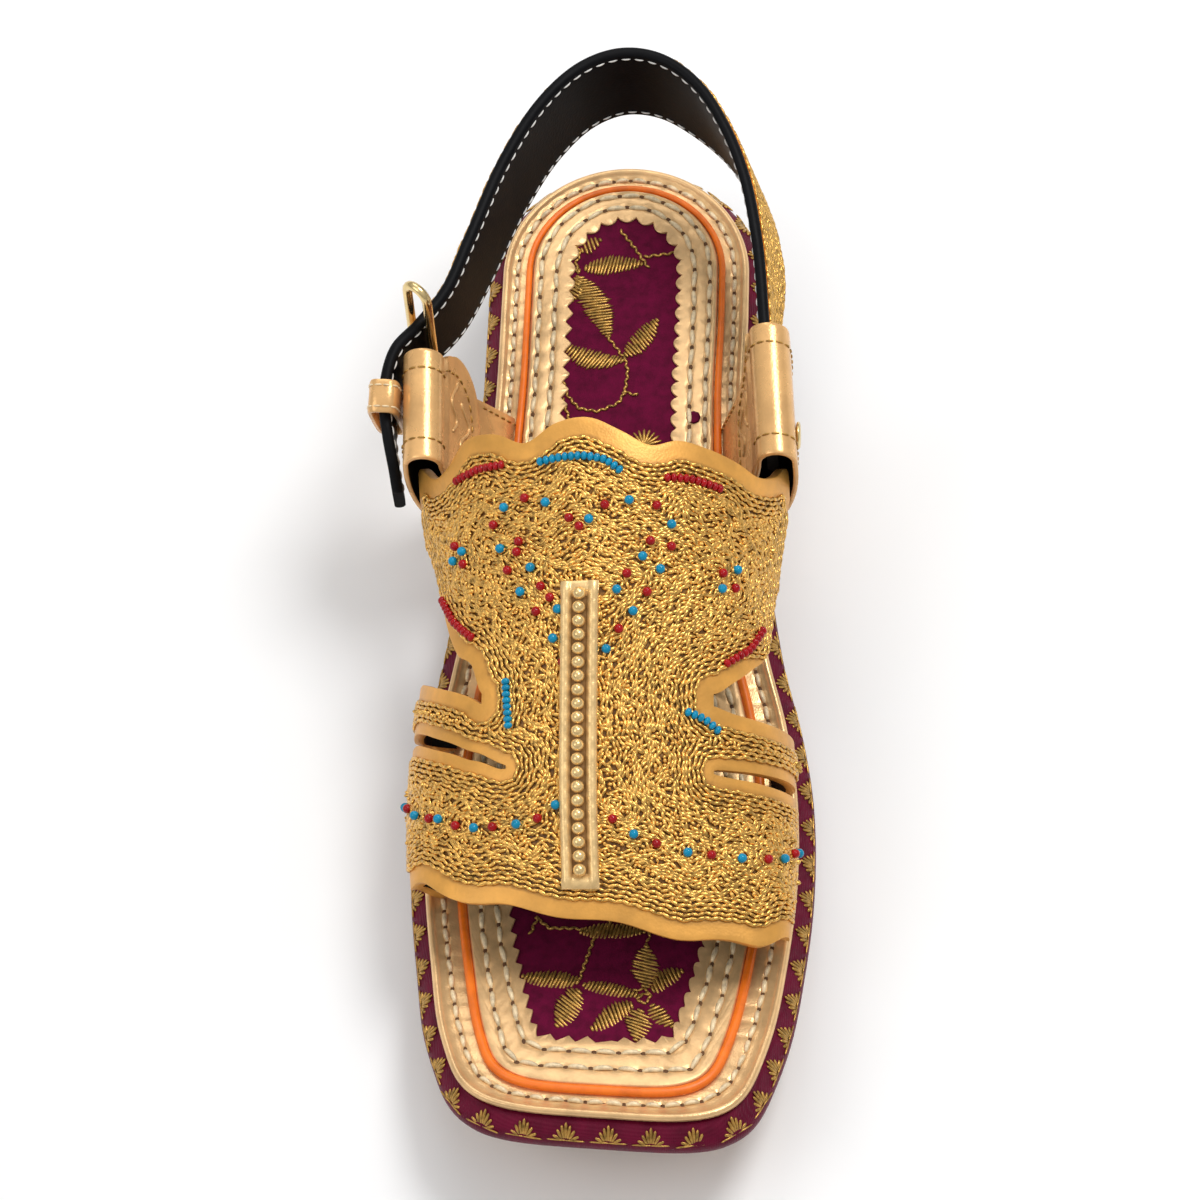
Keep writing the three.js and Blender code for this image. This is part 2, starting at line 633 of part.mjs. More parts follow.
// Stations along the wall of a post, as part and share of that part
const POST_LINE = [
  ...steps(0, 1, WALL_STEPS).slice(0, -1).map((share) => ({ part: 'outer', share })),
  ...steps(0, 1, ROLL_STEPS).map((share) => ({ part: 'roll', share })),
  ...steps(0, 1, WALL_STEPS).slice(1).map((share) => ({ part: 'inner', share })),
];

function makePosts() {
  for (const [name, post] of Object.entries(POSTS)) {
    const along = steps(0, 1, POST_ROWS);
    const middle = POST_LINE.map((stop) => along.map((v) => postWall(post, stop.part, stop.share, v)));
    const skin = (sign) => middle.map((row, c) => row.map((point, r) => {
      const before = middle[Math.max(c - 1, 0)][r];
      const after = middle[Math.min(c + 1, middle.length - 1)][r];
      const run = after.clone().sub(before);
      const normal = new THREE.Vector3(run.z, 0, -run.x).normalize().multiplyScalar(post.side);
      const moved = point.clone().addScaledVector(normal, (sign * POST_WALL) / 2);
      moved.z = Math.max(moved.z, rise(moved.y) + BASE_TOP + LANDING_GAP);
      return moved;
    }));
    const [out, into] = [skin(-post.side), skin(post.side)];
    addPiece(name, 'gold_leather', wall(out, into));
  }
}

// Route of the strap as a smooth curve, with its height and lean read from the same rows
const STRAP_CURVE = new THREE.CatmullRomCurve3(
  STRAP_ROUTE.map((row) => new THREE.Vector3(row.x, row.y, row.z)),
  false,
  'centripetal',
);

function strapFrame(share) {
  const last = STRAP_ROUTE.length - 1;
  const rows = STRAP_ROUTE.map((row, i) => ({ ...row, share: i / last }));
  const centre = STRAP_CURVE.getPoint(share);
  const run = STRAP_CURVE.getTangent(share).setZ(0).normalize();
  const outward = new THREE.Vector3(run.y, -run.x, 0);
  const height = tableValue(rows, 'share', 'height', share);
  const lean = tableValue(rows, 'share', 'lean', share);
  const up = new THREE.Vector3(0, 0, height).addScaledVector(outward, lean).normalize();
  return { centre, outward, up, height };
}

function makeBackStrap() {
  const along = steps(0, 1, STRAP_STATIONS);
  const across = steps(-0.5, 0.5, STRAP_ROWS);
  const face = (sign) => grid(along, across, (share, level) => {
    const { centre, outward, up, height } = strapFrame(share);
    return centre.clone().addScaledVector(up, level * height)
      .addScaledVector(outward, (sign * STRAP_WALL) / 2);
  });
  addPiece('back_strap', 'black_leather', wall(face(1), face(-1)));
}

// Closed bar of even section along a loop of points that lie near one plane
function closedBar(path, section, planeNormal) {
  const loops = path.map((point, i) => {
    const before = path[(i + path.length - 1) % path.length];
    const after = path[(i + 1) % path.length];
    const run = after.clone().sub(before).normalize();
    const side = run.clone().cross(planeNormal).normalize();
    return section.map((corner) => point.clone()
      .addScaledVector(side, corner.x).addScaledVector(planeNormal, corner.y));
  });
  return ring(loops);
}

function makeBuckle() {
  const along = new THREE.Vector3(Math.cos(BUCKLE_TURN), Math.sin(BUCKLE_TURN), 0);
  const up = new THREE.Vector3(0, BUCKLE_LEAN, 1).normalize();
  const normal = along.clone().cross(up).normalize();
  const centre = new THREE.Vector3(BUCKLE_CENTRE.x, BUCKLE_CENTRE.y, BUCKLE_CENTRE.z);
  const radius = BUCKLE_SPREAD / 2;
  const straight = BUCKLE_HEIGHT / 2 - radius - WIRE_RADIUS;
  const path = [];
  for (const end of [1, -1]) {
    for (const share of steps(0, 1, BUCKLE_ARC_STEPS)) {
      const angle = Math.PI * share + (end > 0 ? 0 : Math.PI);
      path.push(centre.clone().addScaledVector(along, radius * Math.cos(angle))
        .addScaledVector(up, end * straight + radius * Math.sin(angle)));
    }
  }
  const section = steps(0, 1, WIRE_SIDES).slice(0, -1).map((share) => new THREE.Vector2(
    WIRE_RADIUS * Math.cos(share * 2 * Math.PI),
    WIRE_RADIUS * Math.sin(share * 2 * Math.PI),
  ));
  addPiece('buckle', 'brass', closedBar(path, section, normal));
}

// Leather loop round the tail of the strap
function makeKeeper() {
  const { centre, outward, height } = strapFrame(KEEPER_STATION);
  const along = STRAP_CURVE.getTangent(KEEPER_STATION);
  const up = along.clone().cross(outward).normalize();
  const halfHeight = height / 2 + KEEPER_CLEARANCE + KEEPER_WALL / 2;
  const halfDepth = STRAP_WALL / 2 + KEEPER_CLEARANCE + KEEPER_WALL / 2;
  const corners = [
    { out: 1, up: 0.9 }, { out: 0.6, up: 1 }, { out: -0.6, up: 1 }, { out: -1, up: 0.9 },
    { out: -1, up: -0.9 }, { out: -0.6, up: -1 }, { out: 0.6, up: -1 }, { out: 1, up: -0.9 },
  ];
  const path = corners.map((corner) => centre.clone()
    .addScaledVector(outward, corner.out * halfDepth).addScaledVector(up, corner.up * halfHeight));
  const half = KEEPER_WALL / 2;
  const section = [
    new THREE.Vector2(half, -KEEPER_WIDTH / 2),
    new THREE.Vector2(half, KEEPER_WIDTH / 2),
    new THREE.Vector2(-half, KEEPER_WIDTH / 2),
    new THREE.Vector2(-half, -KEEPER_WIDTH / 2),
  ];
  const axis = outward.clone().cross(up).normalize();
  addPiece('keeper', 'gold_leather', closedBar(path, section, axis));
}

// Flanged brass rings seated on the outer wall of the medial post
function makeEyelets() {
  const post = POSTS.post_medial;
  for (const eyelet of EYELETS) {
    const along = (eyelet.y - post.y.front) / (post.y.rear - post.y.front);
    const spot = postWall(post, 'outer', eyelet.wallShare, along);
    const near = postWall(post, 'outer', eyelet.wallShare - EYELET_WALL_STEP, along);
    const climb = spot.clone().sub(near).setY(0).normalize();
    const normal = new THREE.Vector3(climb.z, 0, -climb.x);
    const profile = [
      new THREE.Vector2(eyelet.bore, 0),
      new THREE.Vector2(eyelet.outer, 0),
      new THREE.Vector2(eyelet.outer * EYELET_TOP_FLANGE, EYELET_HEIGHT * EYELET_SHOULDER),
      new THREE.Vector2((eyelet.outer + eyelet.bore) / 2, EYELET_HEIGHT),
      new THREE.Vector2(eyelet.bore, EYELET_HEIGHT * EYELET_SHOULDER),
      new THREE.Vector2(eyelet.bore, 0),
    ];
    const turned = new THREE.Matrix4().makeRotationFromQuaternion(
      new THREE.Quaternion().setFromUnitVectors(new THREE.Vector3(0, 1, 0), normal),
    );
    const seat = spot.clone().addScaledVector(normal, POST_WALL / 2 + EYELET_STANDOFF);
    const geometry = new THREE.LatheGeometry(profile, EYELET_SIDES)
      .applyMatrix4(turned).translate(seat.x, seat.y, seat.z);
    addPiece(eyelet.name, 'brass', geometry);
  }
}

makeSole();
makeFootbed();
makeVamp();
makeCentreStrip();
makePosts();
makeBackStrap();
makeBuckle();
makeKeeper();
makeEyelets();

// The origin lies on the floor, under the middle of the whole sandal
const middle = new THREE.Box3().setFromObject(sandal).getCenter(new THREE.Vector3());
sandal.position.set(-middle.x, -middle.y, 0);

export default sandal;
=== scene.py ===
"""Dresses the packed sandal: leather, embroidery, beads and stitching around the fixed frame."""

import math
from types import SimpleNamespace

import bpy
import numpy as np
from bpy.props import FloatProperty, FloatVectorProperty, IntProperty, PointerProperty
from mathutils import Euler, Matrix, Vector


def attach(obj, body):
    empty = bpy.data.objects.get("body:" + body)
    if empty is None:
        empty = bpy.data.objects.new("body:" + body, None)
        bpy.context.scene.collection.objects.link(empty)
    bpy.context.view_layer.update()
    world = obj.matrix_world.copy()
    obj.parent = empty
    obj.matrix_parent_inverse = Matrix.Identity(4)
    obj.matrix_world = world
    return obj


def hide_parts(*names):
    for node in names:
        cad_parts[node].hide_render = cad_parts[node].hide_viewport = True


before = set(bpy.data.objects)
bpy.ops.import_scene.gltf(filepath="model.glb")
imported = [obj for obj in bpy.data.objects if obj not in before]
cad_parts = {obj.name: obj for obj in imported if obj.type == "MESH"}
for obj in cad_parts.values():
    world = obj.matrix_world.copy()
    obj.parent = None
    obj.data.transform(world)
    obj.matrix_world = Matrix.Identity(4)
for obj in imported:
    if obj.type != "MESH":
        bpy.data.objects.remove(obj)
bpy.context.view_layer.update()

bl_info = {
    "name": "Embroidered sandal",
    "version": (1, 0, 0),
    "blender": (4, 5, 0),
    "location": "3D View > Sidebar > Sandal",
    "description": "Builds the leather, embroidery, beads and stitching of a right sandal",
    "category": "Object",
}

# Lengths below are millimetres from the sole's centre line; the part's origin lies at -ORIGIN_SHIFT
MM = 0.001
ORIGIN_SHIFT = np.array([6.3936, 0.3099, 0.0])


def table(columns, rows):
    """Named columns of a table; the first column is its key."""
    return dict(zip(columns.split(), np.array(rows, float).T))


# Sole: toe spring, flat ball, raised shank and heel
TOE_Y, HEEL_Y = -144.5, 144.0
TOE_SPRING, TOE_SPRING_START, TOE_SPRING_RUN, TOE_SPRING_POWER = 20.0, -45.0, 100.0, 1.75
HEEL_RISE, SHANK_START, SHANK_RUN = 16.0, -20.0, 85.0
SOLE = table("y lateral medial", [
    (-144, 34.8, 34.0), (-117, 43.0, 43.3), (-97, 46.3, 46.8), (-71, 49.6, 49.4),
    (-45, 50.4, 49.2), (-23, 48.0, 46.0), (0, 43.8, 40.4), (30, 38.6, 36.0),
    (65, 35.6, 34.2), (97, 35.0, 34.8), (144, 34.6, 34.6),
])
TOE_CORNER, TOE_CORNER_POWER, HEEL_CORNER = 20.4, 4.1, 34.0
TOE_SKEW, TOE_SKEW_END = 0.073, -104.0
INSET_BLEND, TAPER_RUN = (-60.0, 70.0), (-125.0, -85.0)
FINE = {"corners": 60, "sides": 420}  # divisions of a loop with stitches or teeth

# Layer heights above the line of the sole
PAD_TOP, OUTSOLE_BOTTOM, OUTSOLE_TOP = 3.3, 3.3, 7.1
BAND_TOP, BASE_TOP, RIM_TOP = 17.2, 19.3, 20.3
INSERT_TOP, FRAME_TOP = 20.55, 21.5
PIPING_RADIUS = 1.25
PIPING_LINE = {"fore": 10.2, "rear": 7.9, "toe": 9.4, "back": 6.8, "taper": 0.6}
FRAME_WIDTH = {"fore": 11.6, "rear": 10.6, "toe": 14.2, "back": 9.4, "taper": 2.2}
PIPING_SEAT = 1.35

RIM_SHIFT, FRAME_CORNER = 1.2, 3.5

# Pinked edge of the frame: how far its teeth pass the lip, and where they turn into round lobes
TOOTH_OVERHANG = 0.9
LOBES_X, LOBES_TOE_Y, LOBES_HEEL_Y = (2, 8), (-119, -115), (92, 104)

# Rows of stitches on the rim and on the frame, and the dents and puffs of the leather along them
RIM_ROW = {"fore": 5.2, "rear": 4.5, "toe": 6.2, "back": 3.2, "taper": 0.8}
OUTER_ROW = {"fore": 15.0, "rear": 11.3, "toe": 15.8, "back": 9.7, "taper": 1.2,
             "corner": FRAME_CORNER}
INNER_ROW = {"fore": 19.3, "rear": 15.6, "toe": 20.9, "back": 13.5, "taper": 2.4,
             "corner": FRAME_CORNER}
STITCH_LIFT, HOLE_SINK = 0.02, 0.4
DENT_PLACES = (-1.3, -0.85, -0.4, 0.0, 0.4, 0.85, 1.3)
DENT_DEPTH, HOLE_DENT, DENT_REACH = 0.16, 0.48, 0.75
PUFF_HEIGHT, PUFF_PLACE, PUFF_REACH = 0.12, 1.2, 0.6

# Satin band: where its face starts, how far it swells and tucks in, and the fans on it
BAND_START, BAND_SWELL, BAND_TURN, BAND_TUCK = 1.0, 4.9, 0.62, 1.0
FAN_HEIGHT, FAN_LEAN, FAN_SHARE = 15.2, 0.95, 0.76

# Arch of the upper and the cut lines of the vamp; u runs from -1 (lateral) to 1 (medial)
ARCH = table("y lateral medial spring crown", [
    (-112, 47.0, 45.0, 38, 45), (-90, 50.0, 47.5, 36, 53.5), (-65, 52.4, 48.3, 33, 62.5),
    (-40, 52.6, 48.2, 33, 71.5), (-20, 51.0, 46.5, 35, 79), (0, 49.5, 45.0, 38, 86.5),
    (18, 52.0, 47.0, 41, 92), (38, 56.4, 50.4, 43, 95.8),
])
ARCH_SWEEP = math.radians(122)
VAMP_LANDING, LANDING_GAP, VAMP_WALL = 5.2, 0.3, 2.6
CUTS = table("u front slit mid wing", [
    (-1.0, -75, -33, -15, 0), (-0.62, -80, -39.5, -24.5, 11), (-0.55, -81.5, -42, -27.5, 0),
    (-0.47, -84.5, -45.5, -31, -14), (-0.4, -87, -48.5, -34, -24.5),
    (-0.34, -89, -51.5, -37, -29), (-0.3, -90, -53, -39.5, -37),
    (-0.225, -91, -56.5, -40, -37), (0, -95, -58, -40, -36), (0.2, -98, -57.5, -40, -37),
    (0.3, -98.5, -56.5, -40, -37), (0.36, -98.5, -56, -40.5, -33), (0.44, -98, -55, -40, -27),
    (0.52, -97, -54, -39, -20), (0.62, -95, -52.5, -37.5, 0), (1.0, -88, -46.5, -31, 0),
])
SCALLOPS = table("u y", [
    (-0.62, 26), (-0.58, 32.5), (-0.5, 25.5), (-0.43, 25.5), (-0.35, 29.5), (-0.26, 28),
    (-0.18, 23.5), (-0.1, 27.5), (-0.02, 28.5), (0.06, 25), (0.13, 22), (0.2, 24.5),
    (0.28, 24.5), (0.37, 24), (0.45, 23.5), (0.52, 27), (0.57, 32), (0.62, 26),
])
WING_END, NOTCH_END, SLIT_LATERAL, SLIT_MEDIAL = 0.62, 0.3, -0.225, 0.3
SLIT_WIDTH, SLIT_TIP, SLIT_RUN = 3.2, 0.8, 0.3
TOE_WAVE, TOE_WAVE_RATE, TOE_WAVE_PHASE = 0.7, 21.0, 0.6

# Bare leather left between each cut line and the embroidery; the wing's narrows over a run of u
BORDERS = {"front": 4.8, "slit": 3.2, "mid": 4.2, "notch": 5.0, "wing": 4.6, "side": 0.7, "top": 5.2}
WING_BORDER_RUN = (0.40, 0.50)
# Run of distance inside the embroidery over which the painted shade under the cords fades in
CORD_SHADE_RUN = (-0.4, 0.6)

# Couched cord: where its first row lies, its height over the leather, and the end of the toe's part
CORD_START, CORD_LIFT, TOE_CORD_END = 0.4, 0.35, -48
KNOT_LIFT, KNOT_ROOM = 0.55, 0.62
# Wander of its rows: shortest and longest wave and their number, at the edge and in the middle
BENDS, CURLS = (9, 16, 6), (3.4, 5.4, 8)
EDGE_WANDER, WANDER, WANDER_RUN = 0.10, 0.8, (3.0, 9.0)

# Centre strip with its channel of beads
STRIP_U, STRIP_FRONT, STRIP_REAR = -0.04, -87.5, -13.0
STRIP_HALF, STRIP_RIDGE, STRIP_FLOOR = 4.8, 2.7, 1.1
STRIP_END, STRIP_END_SHARE = 2.6, 0.72
CHANNEL_HALF, CHANNEL_END, FOLD_START = 2.1, 3.2, 1.9
STRIP_WOBBLE, STRIP_WOBBLE_RATE = 0.22, 1.9

# Posts, each pair at the front and rear: distance out and ridge height of the roll, y of its ends and
# of the foot; ear is how far the flap bows backwards, notch how far the walls are cut back there
POSTS = {
    "post_medial": {"side": 1, "roll": (43.4, 41.0), "ridge": (74.5, 80.0),
                    "y": (29.0, 66.0), "foot": (28.0, 70.0), "ear": -8.5, "notch": 9.5},
    "post_lateral": {"side": -1, "roll": (50.0, 50.9), "ridge": (74.5, 79.0),
                     "y": (28.0, 59.0), "foot": (27.0, 68.0), "ear": 5.0, "notch": 5.5},
}
POST_WALL, ROLL_RADIUS, POST_FOOT_OUTER, POST_FOOT_INNER = 1.5, 4.7, 4.2, 6.0
POST_BULGE, POST_BEND, POST_UPRIGHT, POST_HEM = 2.2, 8.0, 1.3, 5.5
NOTCH_RUN, OUTER_NOTCH = (0.1, 0.6), 0.85

# Seams as share of the wall, swing and start along it; flap: thickness, hem and its rounded outline
SEAM_CURVES = [(0.30, 0.06, 0.42), (0.50, -0.06, 0.28)]
SEAM_WAVES, SEAM_RUN = 2.4, 0.36
FLAP_LAYER, FLAP_HEM, FLAP_START, FLAP_REACH = 0.9, 0.085, 0.08, 0.61
FLAP_ROUND, FLAP_CORNER = 6, 0.42

# Back strap at mid-height, from the medial post round the heel to the tail
STRAP = table("x y z height lean", [
    (42.0, 38, 60.5, 22, 0), (41.1, 52, 62, 24, -0.3), (40.3, 66, 64, 24, -0.8),
    (40.4, 92, 69, 26, -6.2), (36.6, 111, 72, 26, -6), (30.0, 125.5, 74.5, 27, -4),
    (20.6, 137, 76.3, 27, 0), (10.5, 143.8, 77.2, 27, 1.5), (0.5, 145.2, 77.4, 27, 2),
    (-9.5, 141.4, 76.8, 27, 2.5), (-19.5, 131.5, 75.3, 27, 3), (-29.2, 115, 72.5, 26, 3.5),
    (-38.4, 92, 69, 25, 3), (-44.6, 77.5, 67.5, 23, 2), (-52.0, 67.5, 67, 22, 1),
    (-58.0, 60.5, 66.5, 22, 0.5), (-60.5, 53, 65, 22, 0), (-60.9, 45, 62.5, 22, 0),
    (-59.8, 37, 59.5, 22, 0), (-58.3, 30, 56.5, 18, 0), (-57.7, 26.5, 54.5, 9, 0),
])
STRAP_WALL, STRAP_EDGE, STRAP_LENGTH, TAIL_SHARE = 3.0, 1.3, 330, 0.7
STRAP_ROWS, STRAP_MARGIN, LINING_MARGIN = 16, 2.4, 2.1
STRAP_WAVES, STRAP_WANDER, STRAP_CORD_LIFT = (6, 14, 5), 0.22, 0.25

# Hardware; eyelets as share of the post's wall, y, outer radius and bore radius
BUCKLE_CENTRE = np.array([-52.0, 67.9, 70.5])
BUCKLE_HEIGHT, BUCKLE_SPREAD, WIRE_RADIUS = 43.0, 7.0, 1.3
BUCKLE_TURN, BUCKLE_LEAN = math.radians(-38), 0.12
KEEPER_SHARE, KEEPER_WIDTH, KEEPER_WALL, KEEPER_CLEARANCE = 0.822, 9.0, 1.4, 1.25
KEEPER_ROUNDING, KEEPER_MARGIN = 0.35, 1.6
EYELET_RISE, EYELET_SEAT = 0.62, 0.55
EYELETS = {"eyelet_upper": (0.93, 39.0, 3.7, 1.6), "eyelet_lower": (0.66, 39.0, 2.3, 1.0)}

# Single beads on the vamp as (u, y), and rows of small beads as lines of such points
BEAD_LIFT, ROW_LIFT, STRIP_BEAD_LIFT = 1.25, 1.0, 1.75
RED_BEADS = [
    (-0.185, 9), (-0.28, 4.5), (-0.235, -8), (-0.15, -19.5), (-0.08, -32.5), (-0.205, -1.5),
    (-0.21, -4), (-0.14, -13.5), (-0.115, -16.5), (-0.07, 2.5), (-0.044, 0.3), (0.02, 5.5),
    (0.15, 6.5), (0.19, -3), (0.135, -2.5), (0.075, -11), (0.125, -15), (0.055, -24.5),
    (-0.425, 4), (-0.39, -2), (0.34, -6), (0.38, -8.5), (-0.635, -58), (-0.48, -65),
    (-0.375, -69), (-0.26, -71), (-0.14, -70), (0.04, -70.5), (0.145, -76), (0.29, -77.5),
    (0.485, -75.5), (0.65, -70), (-0.78, -53.5), (0.8, -65.5),
]
BLUE_BEADS = [
    (-0.245, 8), (-0.13, 7), (-0.26, -2), (-0.195, -14), (-0.105, -26.5), (-0.17, -8.5),
    (-0.095, -19.5), (-0.02, 2), (0.08, 7), (0.19, 2.5), (0.115, -6.5), (0.16, -9),
    (0.05, -15), (0.09, -20), (0.025, -29.5), (-0.395, 1.5), (-0.435, 0.5), (0.39, -3.5),
    (0.335, -10), (-0.565, -62), (-0.44, -66), (-0.315, -70.5), (-0.195, -71), (-0.095, -67),
    (0.09, -74), (0.225, -77.5), (0.385, -77), (0.57, -73.5), (-0.7, -55.5), (0.73, -67.5),
]
RED_ROWS = [
    [(-0.395, 20), (-0.315, 20), (-0.245, 19)], [(0.175, 14), (0.235, 15), (0.32, 15)],
    [(-0.49, -7.5), (-0.415, -16), (-0.34, -22)], [(0.485, -15.5), (0.425, -22.5), (0.34, -28.5)],
]
BLUE_ROWS = [
    [(-0.14, 17.5), (-0.085, 18), (-0.03, 18), (0.02, 17), (0.055, 14.5)],
    [(-0.225, -35.5), (-0.22, -41), (-0.215, -46.5)], [(0.225, -43), (0.27, -44), (0.305, -46)],
]

# Leaves on the insert: base x, base y, tip x, tip y, half width, bow
LEAVES = [
    (-13.1, 108.0, -4.2, 87.7, 3.3, 0.8), (-11.7, 110.6, 4.9, 111.9, 2.6, 0.4),
    (-12.6, 116.4, -7.3, 120.1, 1.9, 0.0), (0.4, 82.0, 9.3, 93.9, 2.5, -0.6),
    (0.4, 80.5, -16.9, 86.1, 2.5, 2.6), (-13.2, 108.0, -16.0, 99.1, 1.7, 0.6),
    (-6.9, -104.2, -12.4, -115.5, 3.4, 0.5), (-7.0, -101.6, -22.2, -99.8, 2.3, 0.6),
    (-6.2, -102.4, 9.1, -105.9, 1.6, 0.0), (10.1, -103.3, 10.0, -90.3, 3.1, 0.0),
    (7.0, -108.5, -3.4, -116.3, 2.8, 0.4), (9.2, -110.2, 8.1, -119.8, 3.1, 0.0),
    (11.9, -104.1, 19.6, -98.0, 2.5, 0.4), (12.0, -108.5, 17.6, -115.4, 1.9, -0.8),
    (-7.7, -86.0, 9.8, -86.0, 1.9, 0.0), (-2.0, 30.0, -12.0, 42.0, 2.8, 0.8),
    (0.0, 22.0, 11.0, 33.0, 2.8, -0.8), (-3.0, -10.0, -15.0, 0.0, 2.8, 0.8),
    (2.0, -18.0, 14.0, -8.0, 2.8, -0.8), (-4.0, -50.0, -17.0, -42.0, 2.8, 0.8),
    (3.0, -58.0, 16.0, -49.0, 2.8, -0.8),
]
STEMS = [
    [(-4.2, 87.7), (0.4, 81.0)],
    [(0.6, 80.5), (1.4, 76.9), (0.7, 70.2), (-1.0, 66.7), (-6.6, 64.1), (-11.8, 65.1),
     (-15.0, 69.2), (-16.2, 73.3)],
    [(-1.6, 122.7), (2.1, 117.5), (6.0, 111.1)], [(5.7, 114.3), (11.1, 115.1), (14.8, 115.9)],
    [(-16.1, 67.7), (-14.3, 61.6), (-8.0, 50.0), (-2.0, 38.0), (-1.0, 22.0), (-2.0, 0.0),
     (1.0, -20.0), (-3.0, -45.0), (2.0, -62.0), (0.0, -84.0)],
    [(0.7, 70.2), (3.6, 69.5)], [(-14.0, 118.0), (-12.8, 115.3), (-14.2, 112.2), (-12.8, 109.0),
                                 (-15.0, 110.6)],
    [(-7.0, -100.7), (-3.9, -88.6)], [(-18.8, -82.1), (-15.7, -85.1), (-9.2, -85.1), (-3.3, -86.0)],
    [(-18.8, -82.1), (-20.4, -86.4)], [(10.0, -90.3), (10.6, -86.8)],
    [(7.6, -104.1), (10.4, -103.7), (11.6, -106.7), (9.2, -108.5), (8.3, -105.9), (10.5, -105.4)],
]
# Stitches of the leaves, and the insert's fan and the frame's hole as x, y and radius
LEAF_STEP, LEAF_FULLNESS, LEAF_SLANT, LEAF_WANDER = 0.95, 2.6, 0.28, 0.09
INSERT_FAN = (6.3, 53.5, 5.2)
FRAME_HOLE = (19.8, 61.6, 2.0)

# Tread pad with its pebbles, and heel; heel edge: inset, height, share of the taper
PAD_INSET, PAD_FRONT, PAD_TIP_Y, PAD_NOTCH = 19.0, (-126.0, -129.0), -8.0, 14.0
PEBBLE_ROWS, PEBBLE_COLUMNS = range(-12, 30), range(-10, 11)
PEBBLE_ROOM, PEBBLE_REAR_ROOM, PEBBLE_HEIGHT = 0.42, 0.6, 1.6
HEEL_FRONT_Y, HEEL_INSET, HEEL_TAPER = 72.0, 1.2, 1.6
HEEL_EDGE = [(1.2, 0.0, 0.0), (0.3, 0.35, 0.1), (0.0, 1.0, 0.4), (0.0, 2.0, 0.7), (0.0, 3.4, 1.0)]

# Camera: where it stands, how far it looks down, and the slope of its view to the sandal's middle
CAMERA_PLACE = np.array([65.8, -542.0, 1059.5])
CAMERA_ELEVATION = math.radians(62)
CAMERA_SLOPE = (-0.0604, 0.0028)
CAMERA_LENS = 130.2

# Lights as place, size and power, in metres and watts; sky as height and grey
LIGHTS = {"key": ((0.40, 0.30, 1.10), 0.45, 6.5), "fill": ((-0.70, -0.35, 0.85), 0.6, 1.8),
          "back": ((-0.15, 0.85, 0.90), 0.6, 2.0)}
SKY = ((0.0, 0.92), (0.05, 0.92), (0.14, 0.34), (0.35, 0.42), (0.75, 0.62), (1.0, 0.75))
FLOOR_RADIUS, FLOOR_Z = 4, -0.0002

LENGTH = {"subtype": "DISTANCE", "unit": "LENGTH", "precision": 5}


def length(label, description, millimetres):
    return FloatProperty(name=label, description=description, default=millimetres * MM, **LENGTH)


def colour(label, description, value):
    return FloatVectorProperty(name=label, description=description, default=value,
                               subtype="COLOR", size=3, min=0.0, max=1.0)


class SandalSizes(bpy.types.PropertyGroup):
    """Sizes of the repeated details."""

    row_spacing: length("Row spacing", "Distance between rows of couched cord", 1.2)
    chain_length: length("Chain stitch length", "Length of one link of the couched cord", 3.0)
    chain_width: length("Chain stitch width", "Width of one link of the couched cord", 1.2)
    bead_size: length("Bead diameter", "Diameter of a single glass bead", 2.5)
    small_bead_size: length("Small bead diameter", "Diameter of the beads sewn in rows", 1.9)
    strip_bead_size: length("Strip bead diameter", "Diameter of the beads in the centre strip", 3.45)
    rim_pitch: length("Rim stitch pitch", "Distance between the stitches of the rim", 4.9)
    frame_pitch: length("Frame stitch pitch", "Distance between the stitches of the frame", 6.3)
    lining_pitch: length("Lining stitch pitch", "Distance between the strap's white stitches", 3.6)
    tooth_pitch: length("Pinking pitch", "Width of a tooth of the pinked edge", 4.9)
    tooth_depth: length("Pinking depth", "Depth of a tooth of the pinked edge", 2.1)
    fan_pitch: length("Fan pitch", "Distance between fans on the satin band", 10.8)
    pebble_pitch: length("Pebble pitch", "Distance between the pebbles of the tread", 6.6)
    seed: IntProperty(name="Seed", description="Seed of every random draw", default=7)


class SandalColours(bpy.types.PropertyGroup):
    """Base colours of the finishes."""

    gold_leather: colour("Gold leather", "Foiled leather of rim and frame", (0.83, 0.53, 0.25))
    border: colour("Border leather", "Bare leather along the cut lines", (0.74, 0.36, 0.07))
    thread: colour("Gold thread", "Couched cord and leaf stitches", (0.86, 0.49, 0.12))
    satin: colour("Satin", "Band round the sole", (0.13, 0.0035, 0.024))
    velvet: colour("Velvet", "Insert of the footbed", (0.125, 0.0035, 0.031))
    cord: colour("Piping cord", "Cord between rim and frame", (0.95, 0.19, 0.008))
    sole_leather: colour("Sole leather", "Outsole", (0.52, 0.27, 0.12))
    rubber: colour("Rubber", "Tread pad and heel", (0.012, 0.014, 0.016))
    lining: colour("Lining", "Black leather inside the upper", (0.004, 0.004, 0.005))
    red: colour("Red bead", "Red glass beads", (0.38, 0.003, 0.007))
    blue: colour("Blue bead", "Turquoise glass beads", (0.003, 0.26, 0.45))
    brass: colour("Brass", "Buckle and eyelets", (0.83, 0.63, 0.30))


def smoothstep(value, low, high):
    t = np.clip((value - low) / (high - low), 0, 1)
    return t * t * (3 - 2 * t)


